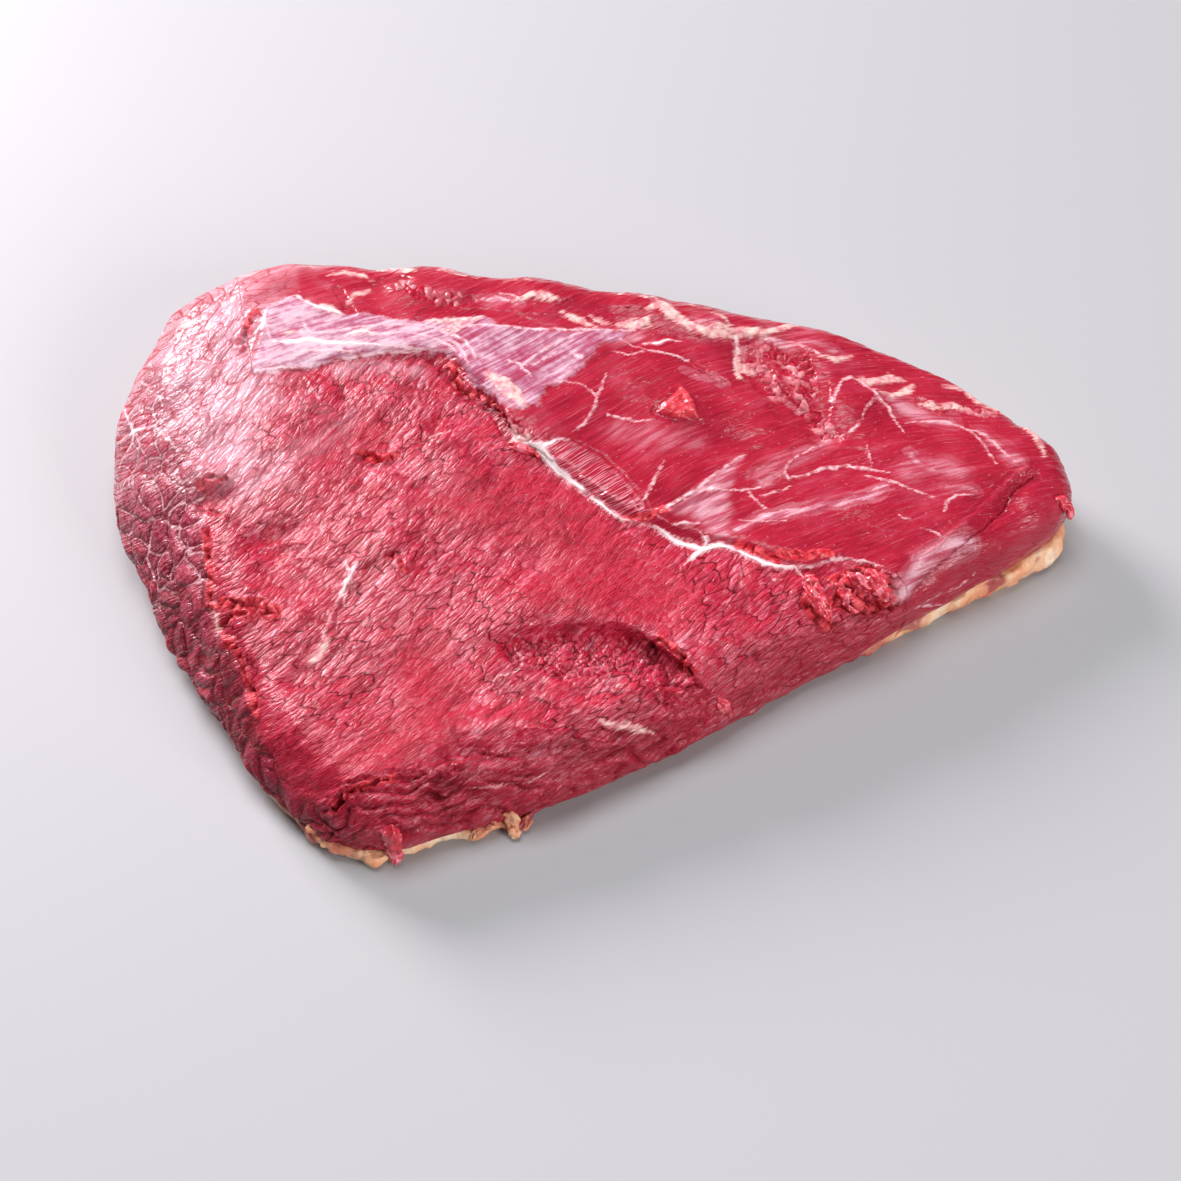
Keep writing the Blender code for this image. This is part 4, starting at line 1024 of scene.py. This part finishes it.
def rawBeef():
    # Raw beef muscle, cut and air-dried a little: water and protein between fine fibres, IOR near 1.38.
    # The eye sees deep red that light enters a millimetre or two, fine strokes, and small wet highlights.
    made, tree, shader, add = newMaterial("rawBeefMuscle", {
        "IOR": 1.38, "Specular IOR Level": 0.15, "Coat IOR": 1.4,
        "Subsurface Weight": 0.1, "Subsurface Radius": (0.0024, 0.0007, 0.0005), "Subsurface Scale": 1.0,
    })
    tint = {name: hexColour(value) for name, value in beefColours.items()}
    grain = add("Attribute", {}, "Vector", attribute_name="weave")
    field = {}
    for name, parts in packedFields.items():
        packed = add("Attribute", {}, "Vector", attribute_name=name)
        for axis, part in enumerate(parts):
            field[part] = add("SeparateXYZ", {0: packed}, axis)
    place = add("TexCoord", {}, "Object")

    # noises: source, size in mm along and across, detail
    sources = {
        "stroke": (grain, (5.5, 0.9, 0.9), 3), "fine": (grain, (2.2, 0.4, 0.4), 2),
        "streak": (grain, (18, 1.8, 1.8), 3), "hair": (grain, (12, 0.35, 0.35), 2),
        "fleck": (grain, (2.2, 0.8, 0.8), 1), "comb": (grain, (3.0, 0.6, 0.6), 1),
        "speck": (place, (1.0, 1.0, 1.0), 2), "patch": (place, (8, 8, 8), 3),
        "drift": (place, (22, 22, 22), 3), "rag": (place, (2.6, 2.6, 2.6), 2),
    }
    for name, (source, size, detail) in sources.items():
        unit, count = (1, "2D") if source is grain else (1 / mm, "3D")
        scaled = add("VectorMath", {0: source, 1: [unit / length for length in size]}, operation="MULTIPLY")
        sockets = {"Vector": scaled, "Scale": 1.0, "Detail": detail, "Roughness": 0.6}
        field[name] = add("TexNoise", sockets, noise_dimensions=count)

    # flat cells between creases, too fine for the mesh: border distance and a tone for each cell
    wobble = add("TexNoise", {"Vector": grain, "Scale": 0.16, "Detail": 1.0}, "Color", noise_dimensions="2D")
    for name, (along, across) in {"web": (8.5, 2.2), "fineWeb": (3.4, 0.9)}.items():
        bent = add("VectorMath", {0: grain, 1: (1 / along, 1 / across, 1 / across)}, operation="MULTIPLY")
        reach = (2.6 / along, 1.1 / across, 0)
        bent = add("VectorMath", {0: wobble, 1: reach, 2: bent}, operation="MULTIPLY_ADD")
        sockets, flat = {"Vector": bent, "Scale": 1.0}, {"voronoi_dimensions": "2D"}
        field[name] = add("TexVoronoi", sockets, "Distance", feature="DISTANCE_TO_EDGE", **flat)
        field[name + "Tone"] = add("TexVoronoi", sockets, "Color", **flat)
    mixes = {
        "tone": (("fine", 0.28), ("stroke", 0.28), ("patch", 0.1), ("webTone", 0.16), ("fineWebTone", 0.18)),
        "rightTone": (("streak", 0.2), ("hair", 0.2), ("patch", 0.25), ("drift", 0.35)),
        "skinTone": (("streak", 0.35), ("patch", 0.3), ("rag", 0.15), ("stroke", 0.2)),
    }
    for key, parts in mixes.items():
        field[key] = summed(add, [(field[name], share) for name, share in parts])
    # the silver skin is whiter towards the broad end: places along X in m, then what is added
    whiter = add("MapRange", {0: add("SeparateXYZ", {0: place}), 1: -0.09, 2: -0.02, 3: 0.035, 4: -0.02})
    field["skinTone"] = add("Math", {0: field["skinTone"], 1: whiter}, operation="ADD")

    # edges in mm made ragged
    edges = {
        "skinMm": ("rag", 5.0), "fatMm": ("stroke", 3.4), "tornMm": ("rag", 2.0), "lobeMm": ("rag", 0.6),
        "lineMm": ("comb", 1.3), "lumpMm": ("rag", 3.0),
    }
    for name, (source, amount) in edges.items():
        noiseMm = add("Math", {0: field[source], 1: amount, 2: -amount / 2}, operation="MULTIPLY_ADD")
        field[name + "Ragged"] = add("Math", {0: field[name], 1: noiseMm}, operation="ADD")

    # masks: signal, where it starts and ends, value at each
    ranges = {
        # the lighter and pale strokes on the left are partly the meat's own tone and partly painted sheen,
        # which shine weakens in the velvet places
        "leftMid": ("tone", 0.32, 0.50, 0.1, 1), "leftLightAndSheen": ("tone", 0.46, 0.62, 0, 0.62),
        "leftPaleSheen": ("tone", 0.55, 0.70, 0, 0.7), "shine": ("velvet", 0, 1, 1, 0.4),
        "rightMid": ("rightTone", 0.34, 0.50, 0.3, 1), "rightLight": ("rightTone", 0.48, 0.64, 0, 0.34),
        "rightPale": ("hair", 0.62, 0.76, 0, 0.2), "fleckIn": ("fleck", 0.72, 0.82, 0, 0.3),
        # the web's lines are a painted shade in the fine creases between cells, on the left muscle and on the
        # dome
        "webLine": ("web", 0.0, 0.085, 1, 0), "webPatch": ("drift", 0.36, 0.52, 0.25, 1),
        "fineLine": ("fineWeb", 0.02, 0.12, 0.35, 0), "domeWebShade": ("web", 0.01, 0.08, 0.85, 0),
        "webPillow": ("web", 0.0, 0.34, 0, 1), "finePillow": ("fineWeb", 0.0, 0.34, 0, 1),
        "lineEdge": ("lineMmRagged", -0.35, 0.3, 0, 0.92), "lineWide": ("lineMm", 0.15, 0.7, 0, 1),
        "lineThin": ("rag", 0.36, 0.60, 0.25, 0.9),
        "cutHalf": ("cut", 0, 1, 1, 0.4), "flapIn": ("flap", 0.1, 0.7, 0, 0.8),
        "calmSide": ("nearSide", 0, 1, 1, 0.35),
        # the lobes darken near the grooves between them: painted shade
        "lobeLine": ("lobeMmRagged", 0.04, 0.36, 0.8, 0), "lobeGapShade": ("lobeMm", 0.1, 1.3, 0.85, 0),
        "lobeTint": ("lobeTone", 0.0, 1.0, 0.2, 1), "dust": ("speck", 0.42, 0.66, 0, 0.7),
        # the pale lines and dust of the lobes are stronger towards the top: painted sheen
        "lineShare": ("fresh", 0, 1, 0.12, 0.85), "dustShare": ("fresh", 0, 1, 0.35, 1),
        # low is a painted shade in hollows, high a painted light on rises
        "domeTone": ("patch", 0.32, 0.62, 0.14, 0.5), "low": ("hollow", 0.4, 1.3, 0, 0.2),
        "high": ("hollow", -0.3, -1.0, 0, 0.2), "sideTone": ("patch", 0.3, 0.65, 0.7, 0.2),
        "dampness": ("crease", 0, 0.8, 0.85, 0.1), "dampWeb": ("web", 0.02, 0.16, 0.2, 1),
        "tornIn": ("tornMmRagged", -0.5, 0.5, 0, 0.9), "tornTone": ("tone", 0.38, 0.58, 0, 1),
        "filmTone": ("streak", 0.36, 0.6, 0.55, 1), "filmTint": ("streak", 0.34, 0.62, 0.2, 1),
        "skinIn": ("skinMmRagged", -0.9, 1.2, 0, 0.86), "skinEdge": ("skinMmRagged", 0.1, 1.1, 0.15, 0),
        "skinLilac": ("skinTone", 0.36, 0.50, 0, 1), "skinWhiteness": ("skinTone", 0.45, 0.62, 0, 1),
        "fatIn": ("fatMmRagged", -0.7, 0.9, 0, 0.85), "fatTone": ("rag", 0.36, 0.60, 0, 1),
        "lumpIn": ("lumpMmRagged", -0.8, 0.9, 0, 0.85), "lumpTint": ("lumpTone", 0.25, 0.95, 0, 1),
        "bandHair": ("hair", 0.5, 0.64, 0, 0.7), "redder": ("right", 0, 1, 1, 0.35),
        # painted shade on the near side, and in the velvet places
        "velvetShade": ("velvet", 0.2, 1, 0, 0.3), "nearSideShade": ("nearSide", 0, 1, 0, 0.3),
    }
    mask = {}
    for name, (signal, low, high, first, last) in ranges.items():
        links = {0: field[signal], 1: low, 2: high, 3: first, 4: last}
        mask[name] = add("MapRange", links, interpolation_type="SMOOTHSTEP")

    def multiplied(pairs):
        for name, (first, second) in pairs.items():
            mask[name] = add("Math", {0: first, 1: second}, operation="MULTIPLY")

    # the crease masks are painted shade in creases, weaker on the right
    multiplied({
        "webShade": (mask["webLine"], mask["webPatch"]), "domeCut": (field["dome"], mask["cutHalf"]),
        "sideHere": (mask["sideTone"], field["wall"]), "filmAndSheenHere": (mask["filmTone"], field["film"]),
        "bandHere": (mask["bandHair"], field["band"]), "creaseShadeHere": (field["crease"], mask["redder"]),
        "lobeLineHere": (mask["lobeLine"], mask["lineShare"]), "dustHere": (mask["dust"], mask["dustShare"]),
        "coat": (mask["dampness"], mask["dampWeb"]), "calmHere": (mask["calmSide"], mask["shine"]),
        "pillow": (mask["webPillow"], mask["shine"]), "domeWebShadeHere": (mask["domeWebShade"], field["dome"]),
    })
    # thin threads fade in and out, wide ones do not
    lineWhole = add("Math", {0: mask["lineWide"], 1: mask["lineThin"]}, operation="MAXIMUM")
    multiplied({
        "lineIn": (mask["lineEdge"], lineWhole), "leftLightAndSheen": (mask["leftLightAndSheen"], mask["shine"]),
        "leftPaleSheen": (mask["leftPaleSheen"], mask["shine"]), "webShade": (mask["webShade"], mask["calmHere"]),
        # the dome's pale film is partly a painted sheen, and its creases get painted shade
        "domeHere": (mask["domeTone"], mask["domeCut"]), "domeCreaseShade": (mask["creaseShadeHere"], field["dome"]),
        "coat": (mask["coat"], mask["shine"]),
    })

    # left muscle: its pale pink strokes are partly painted sheen; the velvet places, the near side and the
    # creases get painted shade
    left = stacked(add, tint["dark"], [
        (mask["leftMid"], tint["mid"]), (mask["leftLightAndSheen"], tint["light"]), (mask["leftPaleSheen"], tint["pale"]),
        (mask["velvetShade"], tint["dark"]), (mask["nearSideShade"], tint["deep"]),
        (mask["fineLine"], tint["light"]), (mask["webShade"], tint["crack"]),
        (mask["creaseShadeHere"], tint["crack"]),
    ])
    # right muscle: painted shade in its creases
    right = stacked(add, tint["rightDeep"], [
        (mask["rightMid"], tint["rightMid"]), (mask["rightLight"], tint["rightLight"]),
        (mask["rightPale"], tint["rightPale"]), (mask["fleckIn"], tint["rightPale"]),
        (mask["bandHere"], tint["pale"]), (mask["creaseShadeHere"], tint["deep"]),
    ])
    # cut end: painted shade where the lobes meet
    lobes = stacked(add, tint["cutDark"], [
        (mask["lobeTint"], tint["cutMid"]), (mask["dustHere"], tint["cutDust"]),
        (mask["lobeGapShade"], tint["deep"]), (mask["lobeLineHere"], tint["cutLine"]),
    ])
    # painted shade in the creases of torn and lumpy places
    creaseShaded = (mask["creaseShadeHere"], tint["deep"])
    torn = stacked(add, tint["tornDark"], [(mask["tornTone"], tint["torn"]), creaseShaded])
    film = stacked(add, tint["filmRed"], [(mask["filmTint"], tint["filmWhite"])])
    skin = stacked(add, tint["skinRed"], [
        (mask["skinLilac"], tint["lilac"]), (mask["skinWhiteness"], tint["skinWhite"]),
        (mask["skinEdge"], tint["white"]),
    ])
    fat = stacked(add, tint["peach"], [(mask["fatTone"], tint["cream"])])
    line = stacked(add, tint["thread"], [(mask["lineWide"], tint["white"])])
    lump = stacked(add, tint["mid"], [(mask["lumpTint"], tint["lumpPale"]), creaseShaded])
    # over all: the dome's film and the film streaks are partly painted sheen, creases and hollows get painted
    # shade and rises painted light
    colour = stacked(add, left, [
        (field["right"], right), (field["cut"], lobes), (mask["domeHere"], tint["domeFilmSheen"]),
        (mask["domeWebShadeHere"], tint["dark"]), (mask["domeCreaseShade"], tint["deep"]),
        (mask["low"], tint["deep"]), (mask["high"], tint["light"]), (mask["sideHere"], tint["side"]),
        (mask["flapIn"], torn), (mask["tornIn"], torn), (mask["filmAndSheenHere"], film), (mask["skinIn"], skin),
        (mask["lumpIn"], lump), (mask["fatIn"], fat), (mask["lineIn"], line),
    ])

    # relief too fine for the mesh
    signals = {**field, **mask}
    height = summed(add, [(signals[name], share) for name, share in beefSurface["heights"].items()])
    soft = add("Math", {0: mask["skinIn"], 1: mask["fatIn"]}, operation="MAXIMUM")
    soft = add("Math", {0: soft, 1: mask["lineIn"]}, operation="MAXIMUM")
    ranged = []
    for signal, name in ((soft, "filmCalm"), (field["right"], "rightCalm"), (field["right"], "coatRough")):
        first, last = beefSurface[name]
        ranged.append(add("MapRange", {0: signal, 3: first, 4: last}))
    calm, calmer, coatRough = ranged
    strength = add("Math", {0: calm, 1: calmer}, operation="MULTIPLY")
    normal = add("Bump", {"Height": height, "Strength": strength, "Distance": 1.0 * mm})
    first, last = beefSurface["rough"]
    rough = add("MapRange", {0: field["tone"], 1: 0.35, 2: 0.65, 3: first, 4: last})
    for name in ("right", "cut"):
        more = beefSurface[name + "Rough"]
        rough = add("Math", {0: field[name], 1: more, 2: rough}, operation="MULTIPLY_ADD")
    links = {
        "Base Color": colour, "Roughness": rough, "Normal": normal, "Coat Normal": normal,
        "Coat Weight": mask["coat"], "Coat Roughness": coatRough,
    }
    for key, source in links.items():
        tree.links.new(source, shader.inputs[key])
    return made


beefFinish = rawBeef()
for mesh in leanMeshes:
    linkPiece(mesh.name, mesh, "lean", beefFinish, "lean")


# Fat cap

print("fat cap")
fatSizes = {
    "lump": (10, 1.0), "grain": (3.2, 0.45),  # size and height
    "wander": (9, 6),  # size and amount, for the ragged border of the meat over the fat
    "overFrom": (-32, -20), "overTo": (84, 97),  # where that meat starts and ends, along X
}
fatMesh = subdivided(mergedCopy("fat_cap", "fatCap"), 2)
fatPoints = readPoints(fatMesh)
fatNormals = readNormals(fatMesh)
fatRise = np.zeros(len(fatPoints))
for name, seed in (("lump", 201), ("grain", 205)):
    size, height = fatSizes[name]
    fatRise += height * softNoise(fatPoints, size, seed, 2)
fatSide = smooth(fatPoints[:, 2], 0.3, 2.0) * (1 - smooth(np.abs(fatNormals[:, 2]), 0.75, 0.98))
writePoints(fatMesh, fatPoints + fatNormals * (fatRise * fatSide)[:, None])
# along the middle of the near side, and in places elsewhere, meat is drawn down over the fat
size, amount = fatSizes["wander"]
fatWander = amount * softNoise(fatPoints, size, 209, 2)
overPlace = fatPoints[:, 0] + fatWander
overFat = smooth(overPlace, *fatSizes["overFrom"]) * (1 - smooth(overPlace, *fatSizes["overTo"]))
overFat *= smooth(-fatNormals[:, 1], -0.2, 0.3)
writeField(fatMesh, "meatOver", np.maximum(overFat, 0.8 * smooth(fatWander, 2.4, 4.2)))


def beefFat():
    # Hard fat of beef: waxy, cream to peach where dried, with pink stains. Soft wide highlights, and
    # light goes in.
    made, tree, shader, add = newMaterial("beefFat", {
        "Roughness": 0.42, "IOR": 1.45, "Coat Weight": 0.15, "Coat Roughness": 0.3,
        "Subsurface Weight": 0.15, "Subsurface Radius": (0.003, 0.0018, 0.001), "Subsurface Scale": 1.0,
    })
    place = add("TexCoord", {}, "Object")
    slow = add("TexNoise", {"Vector": place, "Scale": 80.0, "Detail": 4.0, "Roughness": 0.6})
    fine = add("TexNoise", {"Vector": place, "Scale": 420.0, "Detail": 3.0, "Roughness": 0.6})
    bands = ((0.30, 0.42, "#ea9f76"), (0.42, 0.54, "#f4be94"), (0.54, 0.68, "#fae2c6"))
    colour = banded(add, slow, "#d07a60", bands)
    stain = add("MapRange", {0: fine, 1: 0.56, 2: 0.74, 4: 0.35})
    meatOver = add("Attribute", {}, "Fac", attribute_name="meatOver")
    over = stacked(add, hexColour("#8a1024"), [(fine, hexColour("#c04a5a"))])
    colour = stacked(add, colour, [(stain, hexColour("#b4473f")), (meatOver, over)])
    normal = add("Bump", {"Height": fine, "Strength": 0.6, "Distance": 0.8 * mm})
    tree.links.new(colour, shader.inputs["Base Color"])
    tree.links.new(normal, shader.inputs["Normal"])
    return made


fatFinish = beefFat()
linkPiece("fatCap", fatMesh, "fat", fatFinish, "fat_cap")


# Loose ends: drips of meat and tags of fat that hang from the near edge and the tip

fatTree = treeOf(fatMesh)
looseEnds = {
    "sides": 8, "steps": 3, "rough": (1.7, 0.6),  # subdivisions; size and height of the unevenness
    "lowest": 0.2, "meatLift": 0.6, "fatLift": 0.4,  # height over the table, and over what lies under
    # pixels along each, half width at each, half thickness as a share of the width
    "meat": [
        ([(388, 826), (393, 840), (396, 856), (398, 866)], (3.2, 2.8, 2.2, 1.2), 0.8),
        ([(1056, 498), (1064, 506), (1072, 512), (1068, 520)], (2.2, 1.9, 1.5, 0.8), 0.9),
        ([(806, 574), (812, 590), (822, 608), (832, 622)], (2.0, 3.4, 3.0, 1.2), 0.35),
        ([(838, 584), (846, 598), (854, 610), (866, 610)], (1.8, 2.8, 2.4, 1.2), 0.35),
        ([(864, 570), (876, 584), (886, 596), (894, 604)], (2.0, 3.0, 2.6, 1.2), 0.35),
        ([(846, 574), (860, 580), (872, 592)], (1.2, 2.0, 1.2), 0.4),
        ([(716, 700), (724, 708), (730, 716)], (1.6, 2.2, 1.2), 0.8),
        ([(506, 446), (518, 448), (532, 452), (540, 458)], (0.8, 1.6, 1.5, 0.8), 0.5),
    ],
    "fat": [
        ([(508, 812), (514, 822), (512, 832), (520, 838)], (2.3, 2.4, 2.0, 1.2), 0.6),
        ([(524, 816), (528, 824), (526, 832)], (1.6, 1.7, 1.0), 0.7),
        ([(496, 820), (486, 827), (474, 834), (472, 842)], (1.0, 1.8, 1.5, 0.8), 0.4),
        ([(308, 824), (318, 836), (332, 846), (350, 852), (372, 854)], (1.4, 2.0, 2.2, 2.0, 1.2), 0.6),
    ],
}


def looseMesh(name, ends, lift):
    # a closed soft strip along each line, pressed onto the meat or hanging beside it
    work = bmesh.new()
    sides = looseEnds["sides"]
    for line, halfWidths, share in ends:
        places = onCut(line) + [0, 0, lift]
        rings = []
        for index, (place, width) in enumerate(zip(places, halfWidths)):
            heading = places[min(index + 1, len(places) - 1)] - places[max(index - 1, 0)]
            heading /= np.linalg.norm(heading)
            side = np.cross(heading, viewBack)
            side /= np.linalg.norm(side)
            up = np.cross(side, heading)
            turns = np.linspace(0, 2 * math.pi, sides + 1)[:-1]
            ring = [place + width * (math.cos(t) * side + share * math.sin(t) * up) for t in turns]
            rings.append([work.verts.new(p * mm) for p in ring])
        for first, second in zip(rings[:-1], rings[1:]):
            for k in range(sides):
                after = (k + 1) % sides
                work.faces.new((first[k], first[after], second[after], second[k]))
        work.faces.new(rings[0][::-1])
        work.faces.new(rings[-1])
    bmesh.ops.recalc_face_normals(work, faces=work.faces)
    mesh = bpy.data.meshes.new(name)
    work.to_mesh(mesh)
    work.free()
    mesh = subdivided(mesh, looseEnds["steps"])
    points, normals = readPoints(mesh), readNormals(mesh)
    size, height = looseEnds["rough"]
    points = points + normals * (height * softNoise(points, size, 301, 2))[:, None]
    points[:, 2] = np.maximum(points[:, 2], looseEnds["lowest"])
    writePoints(mesh, points)
    return mesh


def tornBeef():
    # Freshly torn beef: wet red fibre with no film over it, darker where thick, IOR near 1.38.
    made, tree, shader, add = newMaterial("tornBeef", {
        "IOR": 1.38, "Roughness": 0.4, "Coat Weight": 0.7, "Coat Roughness": 0.15,
        "Subsurface Weight": 0.15, "Subsurface Radius": (0.0024, 0.0007, 0.0005), "Subsurface Scale": 1.0,
    })
    place = add("TexCoord", {}, "Object")
    slow = add("TexNoise", {"Vector": place, "Scale": 260.0, "Detail": 3.0, "Roughness": 0.6})
    colour = banded(add, slow, "#a40e20", ((0.34, 0.48, "#d23246"), (0.50, 0.66, "#f07c8c")))
    normal = add("Bump", {"Height": slow, "Strength": 0.7, "Distance": 1.0 * mm})
    for key, source in (("Base Color", colour), ("Normal", normal), ("Coat Normal", normal)):
        tree.links.new(source, shader.inputs[key])
    return made


print("loose ends")
endMesh = looseMesh("meatEnds", looseEnds["meat"], looseEnds["meatLift"])
linkPiece("meatEnds", endMesh, "lean", tornBeef())
endMesh = looseMesh("fatEnds", looseEnds["fat"], looseEnds["fatLift"])
writeField(endMesh, "meatOver", 0.3 + 0.3 * softNoise(readPoints(endMesh), 4, 305))
linkPiece("fatEnds", endMesh, "fat", fatFinish)


# Floor, light, camera

print("stage and light")
studio = {
    "floorSize": 4.0, "floorColour": "#aeb0b2",
    # name, place in m, size in m, watts, colour
    "lamps": [
        ("windowLamp", (-1.1, 1.25, 0.75), 0.8, 56, "#fff4f8"),
        ("topLamp", (-0.1, 0.2, 1.5), 1.0, 16, "#fbfaff"),
        ("frontLamp", (1.2, -1.1, 0.8), 0.9, 22, "#fff8f6"),
    ],
    "worldColour": "#e4e7ea", "worldStrength": 0.12,
}


def addFloor():
    half = studio["floorSize"] / 2
    mesh = bpy.data.meshes.new("tableTop")
    corners = [(-half, -half, 0), (half, -half, 0), (half, half, 0), (-half, half, 0)]
    mesh.from_pydata(corners, [], [(0, 1, 2, 3)])
    floor = bpy.data.objects.new("tableTop", mesh)
    bpy.context.scene.collection.objects.link(floor)
    finish = newMaterial("tableMatt", {"Base Color": hexColour(studio["floorColour"]), "Roughness": 0.6})[0]
    mesh.materials.append(finish)


def addLamps():
    for name, place, size, watts, colour in studio["lamps"]:
        data = bpy.data.lights.new(name, "AREA")
        data.shape = "DISK"
        data.size = size
        data.energy = watts
        data.color = hexColour(colour)[:3]
        lamp = bpy.data.objects.new(name, data)
        lamp.location = place
        lamp.rotation_euler = (-Vector(place)).to_track_quat("-Z", "Y").to_euler()
        bpy.context.scene.collection.objects.link(lamp)
    world = bpy.data.worlds.new("studio")
    world.use_nodes = True
    back = world.node_tree.nodes["Background"]
    back.inputs["Color"].default_value = hexColour(studio["worldColour"])
    back.inputs["Strength"].default_value = studio["worldStrength"]
    bpy.context.scene.world = world


addFloor()
addLamps()
addCamera()
bpy.context.scene.view_settings.view_transform = "Standard"
